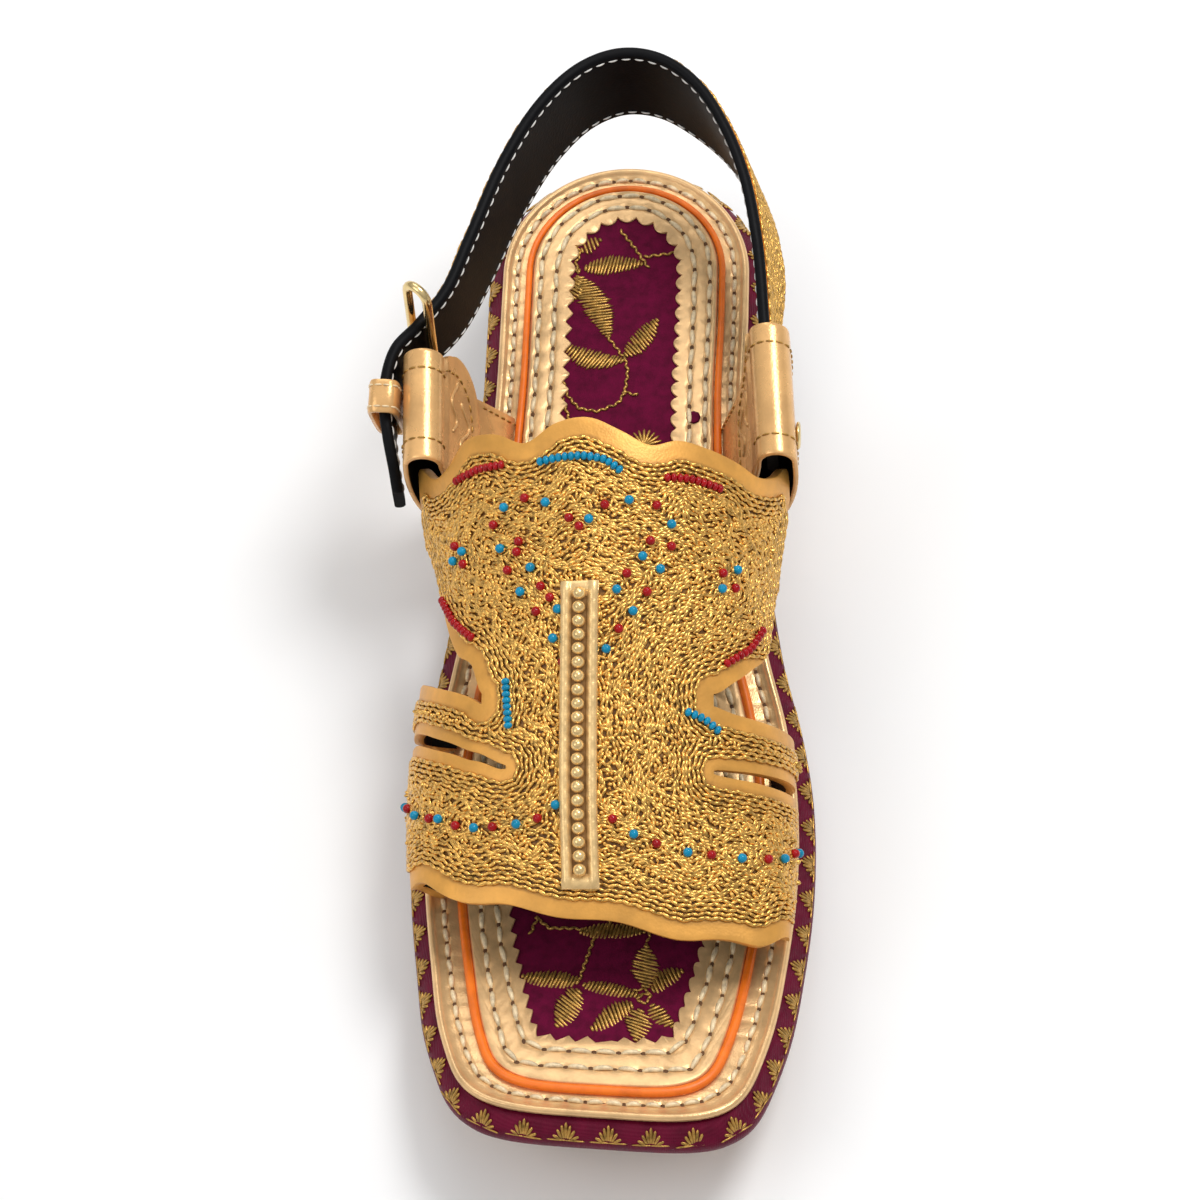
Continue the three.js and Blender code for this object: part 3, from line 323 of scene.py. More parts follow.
def read(rows, column, at):
    """Smooth value of a table column, by cubic pieces through its rows."""
    keys = next(iter(rows.values()))
    values = rows[column]
    at = np.asarray(at, float)
    before = np.maximum(np.arange(len(keys)) - 1, 0)
    after = np.minimum(np.arange(len(keys)) + 1, len(keys) - 1)
    slope = (values[after] - values[before]) / (keys[after] - keys[before])
    i = np.clip(np.searchsorted(keys, at) - 1, 0, len(keys) - 2)
    span = keys[i + 1] - keys[i]
    t = np.clip((at - keys[i]) / span, 0, 1)
    return ((2 * t**3 - 3 * t**2 + 1) * values[i] + (t**3 - 2 * t**2 + t) * span * slope[i]
            + (3 * t**2 - 2 * t**3) * values[i + 1] + (t**3 - t**2) * span * slope[i + 1])


def mix(pair, share):
    """Value at a share of the way between a pair."""
    return pair[0] + (pair[1] - pair[0]) * share


def full_turn(count):
    """Even angles of a full turn."""
    return np.arange(count) / count * 2 * math.pi


def unit(vectors):
    return vectors / np.maximum(np.linalg.norm(vectors, axis=-1, keepdims=True), 1e-9)


def rise(y):
    """Height of the line of the sole."""
    spring = np.clip((TOE_SPRING_START - y) / TOE_SPRING_RUN, 0, 1.2)
    return (TOE_SPRING * spring**TOE_SPRING_POWER
            + HEEL_RISE * smoothstep(y, SHANK_START, SHANK_START + SHANK_RUN))


def bed_normal(y):
    """Upward normal of the footbed."""
    y = np.asarray(y, float)
    slope = rise(y + 0.5) - rise(y - 0.5)
    return unit(np.stack([np.zeros_like(y), -slope, np.ones_like(y)], -1))


def rim_at(y, side):
    return read(SOLE, "medial" if side > 0 else "lateral", y)


def rim_span(y, inset):
    """Lateral and medial x of a line inset from the rim."""
    return inset - rim_at(y, -1), rim_at(y, 1) - inset


def landing(y):
    """Height at which the upper and the posts land on the footbed."""
    return rise(y) + BASE_TOP + LANDING_GAP


def above_bed(points):
    """Lifts points that lie below the landing up to it."""
    points[..., 2] = np.maximum(points[..., 2], landing(points[..., 1]))
    return points


def sole_loop(fore, height, rear=None, toe=None, back=None, taper=0.0, front_y=None, flat=False,
              corner=None, corners=16, sides=90):
    """Closed loop inset from the rim: lateral side from toe to heel, then the medial side back."""
    rear = fore if rear is None else rear
    toe = fore if toe is None else toe
    back = rear if back is None else back
    start = TOE_Y + toe if front_y is None else front_y
    end = HEEL_Y - back
    toe_corner = corner or max(TOE_CORNER - 0.5 * toe, 8.0)
    heel_corner = HEEL_CORNER - back
    angles = (np.arange(corners) + 0.5) / corners * math.pi / 2
    shape = 2 / TOE_CORNER_POWER
    if front_y is None:
        toe_y = start + toe_corner * (1 - np.cos(angles)**shape)
        toe_round = np.sin(angles)**shape
        side_y = np.linspace(start + toe_corner, end - heel_corner, sides + 1)
    else:
        toe_y, toe_round = np.array([start]), np.array([1.0])
        side_y = np.linspace(start, end - heel_corner, sides + 1)[1:]
    heel_y = (end - heel_corner * (1 - np.cos(angles)))[::-1]
    y = np.concatenate([toe_y, side_y, heel_y])
    rounding = np.concatenate([toe_round, np.ones_like(side_y), np.sin(angles)[::-1]])
    inset = mix((fore, rear), smoothstep(y, *INSET_BLEND)) + taper * (1 - smoothstep(y, *TAPER_RUN))
    left, right = rim_span(y, inset)
    middle, half = (left + right) / 2, (right - left) / 2 * rounding
    x = np.concatenate([middle - half, (middle + half)[::-1]])
    y = np.concatenate([y, y[::-1]])
    y = y - TOE_SKEW * x * (1 - smoothstep(y, TOE_Y, TOE_SKEW_END))
    return np.stack([x, y, np.full_like(y, height) if flat else rise(y) + height], -1)


def moved_line(line, by):
    """A line inset further, by one distance or by another line's."""
    if isinstance(by, dict):
        return {key: line[key] + by[key] for key in line}
    return {key: line[key] + (0 if key in ("taper", "corner") else by) for key in line}


def fine_loop(line, height, by=0.0):
    """Finely divided loop on a line, inset further by a distance."""
    return sole_loop(height=height, **moved_line(line, by), **FINE)


def loop_along(loop):
    """Direction along a closed loop at each of its points."""
    return np.roll(loop, -1, 0) - np.roll(loop, 1, 0)


def loop_run(loop):
    """Length along a closed loop to each of its points, and its whole length."""
    steps = np.linalg.norm(np.roll(loop, -1, 0) - loop, axis=1)
    return np.concatenate([[0], np.cumsum(steps)[:-1]]), steps.sum()


def stitch_row(line, height, pitch):
    """Loops of leather dented along a row of stitches, with the row's stitch and hole places."""
    path = fine_loop(line, height)
    run, total = loop_run(path)
    count = round(total / pitch)
    at_hole = np.abs(np.cos(np.pi * run / total * count))**6
    loops = []
    for off in DENT_PLACES:
        loop = fine_loop(line, height, off)
        dent = (DENT_DEPTH + HOLE_DENT * at_hole) * math.exp(-(off / DENT_REACH)**2)
        puff = PUFF_HEIGHT * (1 - at_hole) * math.exp(-((abs(off) - PUFF_PLACE) / PUFF_REACH)**2)
        loop[:, 2] += puff - dent
        loops.append(loop)
    holes = even_loop(path, total / count)
    return loops, (holes + np.roll(holes, -1, 0)) / 2, holes


def even_loop(loop, pitch):
    """A closed loop resampled to an even pitch."""
    closed = np.concatenate([loop, loop[:1]])
    run = np.concatenate([[0], np.cumsum(np.linalg.norm(np.diff(closed, axis=0), axis=1))])
    count = max(int(round(run[-1] / pitch)), 3)
    at = np.linspace(0, run[-1], count, endpoint=False)
    return np.stack([np.interp(at, run, closed[:, k]) for k in range(3)], -1)


def loop_outward(loop):
    """Level outward direction along a loop that runs clockwise seen from above."""
    along = loop_along(loop)
    along[:, 2] = 0
    return unit(np.cross([0.0, 0.0, 1.0], along))


def arch_point(u, y):
    """Outer face of the upper: an arch that bulges over the rim and tucks in at its foot."""
    u, y = np.broadcast_arrays(np.asarray(u, float), np.asarray(y, float))
    side = np.where(u < 0, -1.0, 1.0)
    lateral, medial = -read(ARCH, "lateral", y), read(ARCH, "medial", y)
    middle, half = (lateral + medial) / 2, (medial - lateral) / 2
    spring, crown = read(ARCH, "spring", y), read(ARCH, "crown", y)
    angle = np.abs(u) * ARCH_SWEEP
    foot = landing(y)
    tuck = (1 - np.sin(angle)) / (1 - math.sin(ARCH_SWEEP))
    rim = np.where(u < 0, rim_at(y, -1), rim_at(y, 1))
    low_x = middle + side * half
    low_x = low_x + (side * (rim - VAMP_LANDING) - low_x) * tuck
    low_z = spring - (spring - foot) * np.cos(angle) / math.cos(ARCH_SWEEP)
    below = angle > math.pi / 2
    x = np.where(below, low_x, middle + side * half * np.sin(angle))
    z = np.where(below, low_z, spring + (crown - spring) * np.cos(angle))
    return np.stack([x, y, z], -1)


def arch_normal(u, y):
    across = arch_point(u + 0.004, y) - arch_point(u - 0.004, y)
    along = arch_point(u, y + 0.4) - arch_point(u, y - 0.4)
    return unit(np.cross(across, along))


def vamp_point(u, y, depth):
    """Point of the vamp wall, a given depth under its outer face, never below the footbed."""
    u, y = np.asarray(u, float), np.asarray(y, float)
    return above_bed(arch_point(u, y) - np.asarray(depth)[..., None] * arch_normal(u, y))


def slit_half(u):
    end = np.where(u < 0, abs(SLIT_LATERAL), SLIT_MEDIAL)
    opened = np.clip((np.abs(u) - end) / SLIT_RUN, 0, 1)
    return mix((SLIT_TIP, SLIT_WIDTH), np.sqrt(opened)) / 2


def cut_lines(u):
    """The six lines across the vamp at u, from the toe edge to the scalloped edge."""
    u = np.asarray(u, float)
    front = read(CUTS, "front", u) + TOE_WAVE * np.sin(u * TOE_WAVE_RATE + TOE_WAVE_PHASE)
    slit, half = read(CUTS, "slit", u), slit_half(u)
    top = read(SCALLOPS, "y", np.clip(u, -WING_END, WING_END))
    mid, wing = read(CUTS, "mid", u), read(CUTS, "wing", u)
    return np.stack([front, slit - half, slit + half, mid, wing, top], -1)


def vamp_edges():
    """Points along every cut line of the vamp, each with the width of its bare border."""
    points, borders = [], []

    def add(u, y, border):
        points.append(arch_point(u, y))
        width = np.full(len(u), BORDERS[border])
        if border == "wing":
            width = np.interp(np.abs(u), WING_BORDER_RUN, (BORDERS["wing"], BORDERS["side"]))
        borders.append(width)

    full = np.linspace(-1, 1, 420)
    lines = cut_lines(full)
    add(full, lines[:, 0], "front")
    slit = (full < SLIT_LATERAL) | (full > SLIT_MEDIAL)
    add(full[slit], lines[slit, 1], "slit")
    add(full[slit], lines[slit, 2], "slit")
    outer = np.abs(full) > NOTCH_END
    add(full[outer], lines[outer, 3], "mid")
    wing = outer & (np.abs(full) < WING_END)
    add(full[wing], lines[wing, 4], "wing")
    rear = np.abs(full) < WING_END
    add(full[rear], lines[rear, 5], "top")
    for end, low, high, border in ((NOTCH_END, 3, 4, "notch"), (WING_END, 4, 5, "side")):
        for side in (-1, 1):
            ends = cut_lines(side * end)
            y = np.linspace(ends[low], ends[high], 30)
            add(np.full_like(y, side * end), y, border)
    return np.concatenate(points), np.concatenate(borders)


def border_distance(points):
    """Distance of each point of the vamp from the edge of the embroidery, positive inside it."""
    edges, borders = vamp_edges()
    flat = points.reshape(-1, 3)
    result = np.empty(len(flat))
    for start in range(0, len(flat), 4000):
        gap = np.linalg.norm(flat[start:start + 4000, None] - edges[None], axis=-1)
        result[start:start + 4000] = (gap - borders[None]).min(axis=1)
    return result.reshape(points.shape[:-1])


def on_vamp(u, y):
    """Whether (u, y) lies on leather, not in a cut-out."""
    lines = cut_lines(u)
    toe = (y > lines[..., 0]) & (y < lines[..., 1])
    slit = (y >= lines[..., 1]) & (y <= lines[..., 2]) & (u > SLIT_LATERAL) & (u < SLIT_MEDIAL)
    strap = (y > lines[..., 2]) & (y < lines[..., 3])
    notch = (y >= lines[..., 3]) & (y <= lines[..., 4]) & (np.abs(u) < NOTCH_END)
    wing = (y > lines[..., 4]) & (y < lines[..., 5]) & (np.abs(u) < WING_END)
    return toe | slit | strap | notch | wing


def waves(points, shortest, longest, count, rng):
    """Smooth wandering values from a few plane waves of seeded direction and phase."""
    total = np.zeros(points.shape[:-1])
    for _ in range(count):
        heading, phase = rng.uniform(0, 2 * math.pi, 2)
        wave = 2 * math.pi / rng.uniform(shortest, longest)
        total += np.sin(wave * (points[..., 0] * math.cos(heading)
                                + points[..., 1] * math.sin(heading)) + phase)
    return total / math.sqrt(count)


def contours(values, points, normals, levels):
    """Level lines of a grid of values, as joined edges with a point and a normal per corner."""
    corners, faces_out, edges = [], [], []
    total = 0

    def neighbours(grid, axis):
        return (grid[:-1], grid[1:]) if axis == 0 else (grid[:, :-1], grid[:, 1:])

    for level in levels:
        ids = []
        for axis in (0, 1):
            a, b = neighbours(values, axis)
            crossing = (a > level) != (b > level)
            share = ((level - a[crossing]) / (b - a)[crossing])[:, None]
            number = np.full(crossing.shape, -1)
            number[crossing] = total + np.arange(crossing.sum())
            total += int(crossing.sum())
            for grid, store in ((points, corners), (normals, faces_out)):
                store.append(mix([side[crossing] for side in neighbours(grid, axis)], share))
            ids.append(number)
        along, across = ids
        four = np.stack([along[:, :-1], along[:, 1:], across[:-1], across[1:]], -1)
        two = four[(four >= 0).sum(-1) == 2]
        edges.append(np.sort(two, axis=-1)[:, 2:])
    return np.concatenate(corners), unit(np.concatenate(faces_out)), np.concatenate(edges)


def post_wall(post, part, share, along):
    """Middle line of a post's wall: outer wall up, over the roll, inner wall down."""
    centre, ridge, head_y, foot_y = (mix(post[key], along) for key in ("roll", "ridge", "y", "foot"))
    centre_z = ridge - ROLL_RADIUS - POST_WALL / 2
    top = {"roll": 1.0, "outer": share}.get(part, 1 - share)
    y = mix((foot_y, head_y), min(top * POST_UPRIGHT, 1))
    if part == "roll":
        out = centre + ROLL_RADIUS * math.cos(math.pi * share)
        z = centre_z + ROLL_RADIUS * math.sin(math.pi * share)
    else:
        outer = part == "outer"
        cut = post["notch"] * smoothstep(1 - top, *NOTCH_RUN)
        sway = {"outer": -OUTER_NOTCH * cut, "inner": -cut,
                "flap": post["ear"] * math.sin(math.pi * top)}[part]
        y = y + sway * along**2
        foot_z = landing(y)
        inset = POST_FOOT_OUTER if outer else POST_FOOT_INNER
        foot = np.array([rim_at(y, post["side"]) - inset, foot_z])
        bend = np.array([centre + (POST_BULGE + ROLL_RADIUS if outer else -ROLL_RADIUS),
                         foot_z + POST_BEND if outer else centre_z - POST_BEND])
        head = np.array([centre + (ROLL_RADIUS if outer else -ROLL_RADIUS), centre_z])
        out, z = (1 - top)**2 * foot + 2 * top * (1 - top) * bend + top**2 * head
    return np.array([post["side"] * out, y, z])


def post_line(walls, roll):
    return ([("outer", s) for s in np.linspace(0, 1, walls + 1)[:-1]]
            + [("roll", s) for s in np.linspace(0, 1, roll + 1)]
            + [("inner", s) for s in np.linspace(0, 1, walls + 1)[1:]])


def post_grid(post, along, walls=16, roll=22):
    """Middle surface of a post and its outward normals."""
    line = post_line(walls, roll)
    middle = np.array([[post_wall(post, part, share, v) for v in along] for part, share in line])
    run = np.gradient(middle, axis=0)
    normal = unit(np.stack([run[..., 2], np.zeros_like(run[..., 0]), -run[..., 0]], -1))
    return middle, normal * post["side"]


def flap_edge(along):
    """Share of a post's inner wall that its rounded flap covers."""
    return FLAP_START + FLAP_REACH * np.clip(1 - np.asarray(along)**FLAP_ROUND, 0, 1)**FLAP_CORNER


def flap_face(post, shares, along):
    """Points under a post's flap and the directions out of the wall there."""
    pairs = list(zip(np.ravel(shares), np.ravel(along)))
    line = np.array([post_wall(post, "flap", a, b) for a, b in pairs])
    run = line - np.array([post_wall(post, "flap", a - 0.02, b) for a, b in pairs])
    out = unit(np.stack([run[:, 2], np.zeros(len(run)), -run[:, 0]], -1)) * post["side"]
    return line.reshape(*np.shape(shares), 3), out.reshape(*np.shape(shares), 3)


def strap_curve(share):
    """Centripetal curve through the rows of the strap's route."""
    route = np.stack([STRAP["x"], STRAP["y"], STRAP["z"]], -1)
    padded = np.concatenate([[2 * route[0] - route[1]], route, [2 * route[-1] - route[-2]]])
    at = np.clip(np.asarray(share, float), 0, 1) * (len(route) - 1)
    i = np.clip(at.astype(int), 0, len(route) - 2)
    t = (at - i)[..., None]
    p0, p1, p2, p3 = (padded[i + k] for k in range(4))
    d0, d1, d2 = (np.sqrt(np.linalg.norm(b - a, axis=-1, keepdims=True))
                  for a, b in ((p0, p1), (p1, p2), (p2, p3)))
    m1 = ((p1 - p0) / d0 - (p2 - p0) / (d0 + d1) + (p2 - p1) / d1) * d1
    m2 = ((p2 - p1) / d1 - (p3 - p1) / (d1 + d2) + (p3 - p2) / d2) * d1
    return (p1 + m1 * t + (-3 * p1 + 3 * p2 - 2 * m1 - m2) * t**2
            + (2 * p1 - 2 * p2 + m1 + m2) * t**3)


def strap_frame(share):
    """Centre, outward and upward directions and height of the strap at each share of its route."""
    share = np.asarray(share, float)
    rows = {"share": np.linspace(0, 1, len(STRAP["x"])), **STRAP}
    run = strap_curve(share + 1e-3) - strap_curve(share - 1e-3)
    run[..., 2] = 0
    run = unit(run)
    outward = np.stack([run[..., 1], -run[..., 0], np.zeros_like(share)], -1)
    height = read(rows, "height", share)
    upward = unit(outward * read(rows, "lean", share)[..., None]
                  + height[..., None] * np.array([0.0, 0.0, 1.0]))
    return strap_curve(share), outward, upward, height


def metres(points):
    return (np.asarray(points, float) + ORIGIN_SHIFT) * MM


def grid_faces(columns, rows, wrap_columns=False, wrap_rows=False):
    """Quads of a grid whose points run row by row within each column."""
    c = np.arange(columns if wrap_columns else columns - 1)
    r = np.arange(rows if wrap_rows else rows - 1)
    c, r = np.meshgrid(c, r, indexing="ij")
    c2, r2 = (c + 1) % columns, (r + 1) % rows
    quads = np.stack([c * rows + r, c2 * rows + r, c2 * rows + r2, c * rows + r2], -1)
    return quads.reshape(-1, 4)


def plate(loops):
    """Solid from loops stacked upwards, closed across its width at both ends."""
    levels, count = len(loops), len(loops[0])
    faces = grid_faces(levels, count, wrap_rows=True)
    i = np.arange(count // 2 - 1)
    bottom = np.stack([i, i + 1, count - 2 - i, count - 1 - i], -1)
    top = bottom[:, ::-1] + (levels - 1) * count
    return np.concatenate(loops), np.concatenate([faces, bottom, top])


def ring(loops):
    """Ring whose section is a closed polygon of loops."""
    return np.concatenate(loops), grid_faces(len(loops), len(loops[0]), True, True)


def wall(outer, inner, present=None):
    """Closed wall between two grids of points; also says which faces lie on the inner skin."""
    if present is None:
        present = np.ones((outer.shape[0] - 1, outer.shape[1] - 1), bool)
    columns, rows = present.shape
    index = np.arange((columns + 1) * (rows + 1)).reshape(columns + 1, rows + 1)
    shift = index.size
    c, r = np.nonzero(present)
    a, b, d, e = index[c, r], index[c + 1, r], index[c + 1, r + 1], index[c, r + 1]
    skins = [np.stack([a, b, d, e], -1), np.stack([a, e, d, b], -1) + shift]
    padded = np.pad(present, 1)
    sides = ((0, -1, a, b), (1, 0, b, d), (0, 1, d, e), (-1, 0, e, a))
    rims = []
    for dc, dr, start, end in sides:
        bare = ~padded[c + 1 + dc, r + 1 + dr]
        rims.append(np.stack([end[bare], start[bare], start[bare] + shift, end[bare] + shift], -1))
    faces = np.concatenate(skins + rims)
    is_inner = np.zeros(len(faces), bool)
    is_inner[len(skins[0]):2 * len(skins[0])] = True
    used, packed = np.unique(faces, return_inverse=True)
    points = np.concatenate([outer.reshape(-1, 3), inner.reshape(-1, 3)])[used]
    return (points, packed.reshape(-1, 4)), is_inner


def bar(path, section, side, up):
    """Closed bar along a loop of points, with a section given across two directions per point."""
    return ring([path + side * x + up * y for x, y in section])


def signed_volume(points, faces):
    a, b, c, d = (points[faces[:, k]] for k in (0, 1, 2, 3))
    return np.einsum("ij,ij->", a, np.cross(b, c)) + np.einsum("ij,ij->", a, np.cross(c, d))


def add_object(name, mesh):
    piece = bpy.data.objects.new(name, mesh)
    bpy.context.scene.collection.objects.link(piece)
    return piece


def new_piece(name, shape, finishes, slot, *nodes, face_slots=None, sharp=35, bevel=0.0):
    """Closed piece of points and faces, facing outwards, smooth except at sharp corners."""
    points, faces = shape
    faces = np.asarray(faces)
    if signed_volume(points, faces) < 0:
        faces = faces[:, ::-1]
    mesh = bpy.data.meshes.new(name)
    mesh.from_pydata(metres(points).tolist(), [], faces.tolist())
    for finish in finishes.split():
        mesh.materials.append(FINISHES[finish])
    if face_slots is not None:
        mesh.polygons.foreach_set("material_index", np.asarray(face_slots, np.int32))
    mesh.shade_smooth()
    piece = add_object(name, mesh)
    if bevel:
        soften = piece.modifiers.new("soft edge", "BEVEL")
        soften.width = bevel * MM
        soften.segments = 2
        soften.limit_method = "ANGLE"
        soften.angle_limit = math.radians(sharp)
        bake(piece)
    piece.data.set_sharp_from_angle(angle=math.radians(sharp))
    return settle(piece, slot, *nodes)


def bake(piece):
    """Replaces a piece's mesh by its evaluated mesh and drops its modifiers."""
    graph = bpy.context.evaluated_depsgraph_get()
    made = bpy.data.meshes.new_from_object(piece.evaluated_get(graph), preserve_all_data_layers=True,
                                           depsgraph=graph)
    piece.modifiers.clear()
    old = piece.data
    piece.data = made
    made.name = piece.name
    bpy.data.meshes.remove(old)


def settle(piece, slot, *nodes):
    """Rides a piece on the part and hides the solids that it stands for; its slot is not used."""
    if not len(piece.data.vertices):
        raise RuntimeError(piece.name + " came out empty")
    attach(piece, "root")
    if nodes:
        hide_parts(*nodes)
    return piece


def add_node(tree, kind, values=None, links=None, **settings):
    """Adds a node, sets its sockets and links other nodes' outputs into it."""
    node = tree.nodes.new(kind)
    for key, value in settings.items():
        setattr(node, key, value)
    for socket, value in (values or {}).items():
        node.inputs[socket].default_value = value
    for socket, source in (links or {}).items():
        tree.links.new(source, node.inputs[socket])
    return node


def math_node(tree, operation, *values):
    """Result of a calculation on numbers and other nodes' outputs."""
    node = add_node(tree, "ShaderNodeMath", operation=operation)
    for socket, value in zip(node.inputs, values):
        if isinstance(value, bpy.types.NodeSocket):
            tree.links.new(value, socket)
        else:
            socket.default_value = value
    return node.outputs[0]


def ramp_node(tree, factor, stops):
    """Colour ramp from (position, colour) stops."""
    ramp = add_node(tree, "ShaderNodeValToRGB", links={"Fac": factor})
    steps = ramp.color_ramp.elements
    while len(steps) < len(stops):
        steps.new(0.5)
    for step, (position, value) in zip(steps, stops):
        step.position = position
        step.color = (*value, 1.0)
    return ramp.outputs["Color"]


def tint(value, factor):
    return tuple(min(1.0, channel * factor) for channel in value)


# Distance between the ribs of a wave texture at scale 1
RIB_DISTANCE = 0.314
BRIGHT_PATCH = 1.18


def surface(name, tone, dark, patch, grain, depth, roughness, pattern="VORONOI", **fixed):
    """Principled finish with patchy tone and gloss and a fine relief, on Object coordinates.

    dark is the share of the tone in the darkest patches, and roughness is a range. patch and grain
    are the sizes of the patches and of the relief and depth is the relief's height, in millimetres.
    fixed sets the shader's own sockets.
    """
    material = bpy.data.materials.new(name)
    material.use_nodes = True
    tree = material.node_tree
    shader = tree.nodes["Principled BSDF"]
    place = add_node(tree, "ShaderNodeTexCoord").outputs["Object"]

    def texture(kind, output, values, **settings):
        node = add_node(tree, "ShaderNodeTex" + kind, values, {"Vector": place}, **settings)
        return node.outputs[output]

    patches = texture("Noise", "Fac", {"Scale": 1 / (patch * MM), "Detail": 4.0, "Roughness": 0.6})
    stops = [(0.32, tint(tone, dark)), (0.55, tone), (0.75, tint(tone, BRIGHT_PATCH))]
    tree.links.new(ramp_node(tree, patches, stops), shader.inputs["Base Color"])
    gloss = add_node(tree, "ShaderNodeMapRange", {"To Min": roughness[0], "To Max": roughness[1]},
                     {"Value": patches})
    tree.links.new(gloss.outputs["Result"], shader.inputs["Roughness"])
    if pattern == "VORONOI":
        height = texture("Voronoi", "Distance", {"Scale": 1 / (grain * MM)})
    elif pattern == "NOISE":
        height = texture("Noise", "Fac", {"Scale": 1 / (grain * MM), "Detail": 6.0})
    else:
        ribs = [texture("Wave", "Fac", {"Scale": RIB_DISTANCE / (grain * MM), "Distortion": 0.6},
                        bands_direction=axis) for axis in pattern]
        height = math_node(tree, "ADD", ribs[0], ribs[-1])
    bump = add_node(tree, "ShaderNodeBump", {"Strength": 0.7, "Distance": depth * MM},
                    {"Height": height})
    tree.links.new(bump.outputs["Normal"], shader.inputs["Normal"])
    for socket, value in fixed.items():
        shader.inputs[socket.replace("_", " ")].default_value = value
    return material


def vamp_surface(border):
    """Leather of the vamp: bare along its cut lines, and painted shade under the embroidery, a dark
    mottled brown for the gaps between the cords.
    """
    material = surface("border_leather", border, 0.84, 9.0, 0.7, 0.05, (0.34, 0.48), Metallic=0.35)
    tree = material.node_tree
    shader = tree.nodes["Principled BSDF"]
    bare = shader.inputs["Base Color"].links[0].from_socket
    # Mask of the painted shade under the cords, read from the vamp's points
    cover = add_node(tree, "ShaderNodeAttribute", attribute_name="cover").outputs["Fac"]
    place = tree.nodes["Texture Coordinate"].outputs["Object"]
    cord_shade_mottle = add_node(tree, "ShaderNodeTexNoise", {"Scale": 900.0, "Detail": 2.0},
                       {"Vector": place}).outputs["Fac"]
    # Painted shade: dark brown mottled by noise, standing in for the shade between the cords
    painted_cord_shade = ramp_node(tree, cord_shade_mottle, [(0.35, (0.09, 0.034, 0.005)), (0.65, (0.30, 0.14, 0.026))])
    mix = add_node(tree, "ShaderNodeMix", links={0: cover, 6: bare, 7: painted_cord_shade}, data_type="RGBA")
    tree.links.new(mix.outputs[2], shader.inputs["Base Color"])
    return material


FINISHES = {}


def make_finishes(colours):
    """Every material of the sandal, by name."""
    c = {key: tuple(getattr(colours, key)) for key in colours.__annotations__}
    gold, thread = c["gold_leather"], c["thread"]
    FINISHES.update({
        "gold": surface("gold_leather", gold, 0.82, 7.0, 0.55, 0.05, (0.24, 0.38), Metallic=0.5),
        "frame": surface("frame_leather", gold, 0.82, 5.0, 0.8, 0.07, (0.3, 0.46), "NOISE",
                         Metallic=0.45),
        "post": surface("post_leather", (0.80, 0.46, 0.18), 0.84, 10.0, 0.6, 0.04, (0.22, 0.32),
                        Metallic=0.4),
        "border": vamp_surface(c["border"]),
        "thread": surface("gold_thread", thread, 0.42, 1.6, 0.45, 0.12, (0.18, 0.34), "NOISE",
                          Metallic=0.85),
        "leaf": surface("leaf_thread", tint(thread, 0.62), 0.45, 1.4, 0.35, 0.08, (0.24, 0.4), "NOISE",
                        Metallic=0.75),
        "knot": surface("gold_knot", tint(thread, 1.1), 0.6, 1.2, 0.4, 0.08, (0.2, 0.36), "NOISE",
                        Metallic=0.75),
        "strip": surface("strip_leather", (0.85, 0.58, 0.26), 0.82, 3.0, 0.5, 0.05, (0.26, 0.4),
                         Metallic=0.45),
        # Painted shade: dark brown for the channel beside the beads, where the beads and walls shade it
        "channel": surface("channel_leather", (0.32, 0.17, 0.055), 0.7, 3.0, 0.5, 0.04, (0.4, 0.55)),
        "pearl": surface("gold_bead", (0.88, 0.62, 0.28), 0.8, 2.0, 1.0, 0.03, (0.16, 0.26), "NOISE",
                         Metallic=0.65),
        "satin": surface("maroon_satin", c["satin"], 0.7, 6.0, 0.45, 0.07, (0.36, 0.5), "ZX",
                         Sheen_Weight=0.03, Sheen_Roughness=0.35, Sheen_Tint=(0.9, 0.25, 0.45, 1.0),
                         Specular_IOR_Level=0.12),
        "velvet": surface("maroon_velvet", c["velvet"], 0.66, 3.0, 0.35, 0.12, (0.75, 0.95), "NOISE",
                          Sheen_Weight=0.08, Sheen_Roughness=0.45, Sheen_Tint=(0.75, 0.15, 0.4, 1.0),
                          Specular_IOR_Level=0.1),
        "cord": surface("orange_cord", c["cord"], 0.8, 5.0, 0.5, 0.05, (0.34, 0.46), "NOISE"),
        "sole": surface("tan_leather", c["sole_leather"], 0.82, 14.0, 0.5, 0.05, (0.42, 0.58)),
        "rubber": surface("black_rubber", c["rubber"], 0.7, 5.0, 0.4, 0.06, (0.45, 0.62), "NOISE"),
        "lining": surface("black_leather", c["lining"], 0.7, 6.0, 0.7, 0.04, (0.42, 0.55),
                          Specular_IOR_Level=0.1),
        "red": surface("red_bead", c["red"], 0.7, 2.0, 2.0, 0.01, (0.10, 0.16), "NOISE",
                       Specular_IOR_Level=0.3),
        "blue": surface("blue_bead", c["blue"], 0.75, 2.0, 2.0, 0.01, (0.10, 0.16), "NOISE",
                        Specular_IOR_Level=0.3),
        "brass": surface("pale_brass", c["brass"], 0.85, 6.0, 0.6, 0.02, (0.16, 0.28), "NOISE",
                         Metallic=1.0),
        "white": surface("white_thread", (0.78, 0.76, 0.72), 0.8, 1.5, 0.3, 0.06, (0.55, 0.7), "NOISE"),
        "sewing": surface("champagne_thread", (0.86, 0.68, 0.42), 0.66, 1.6, 0.3, 0.08, (0.3, 0.45),
                          "NOISE", Metallic=0.1),
        # Painted shade: dark brown for the recessed stitch holes
        "hole": surface("stitch_hole", (0.13, 0.055, 0.018), 0.6, 2.0, 0.5, 0.03, (0.7, 0.9), "NOISE"),
    })


# Inputs that both node trees take, with their defaults
SIZE_INPUTS = {"Length": 1.0, "Width": 1.0, "Height": 1.0, "Tilt": 0.0, "Jitter": 0.0}


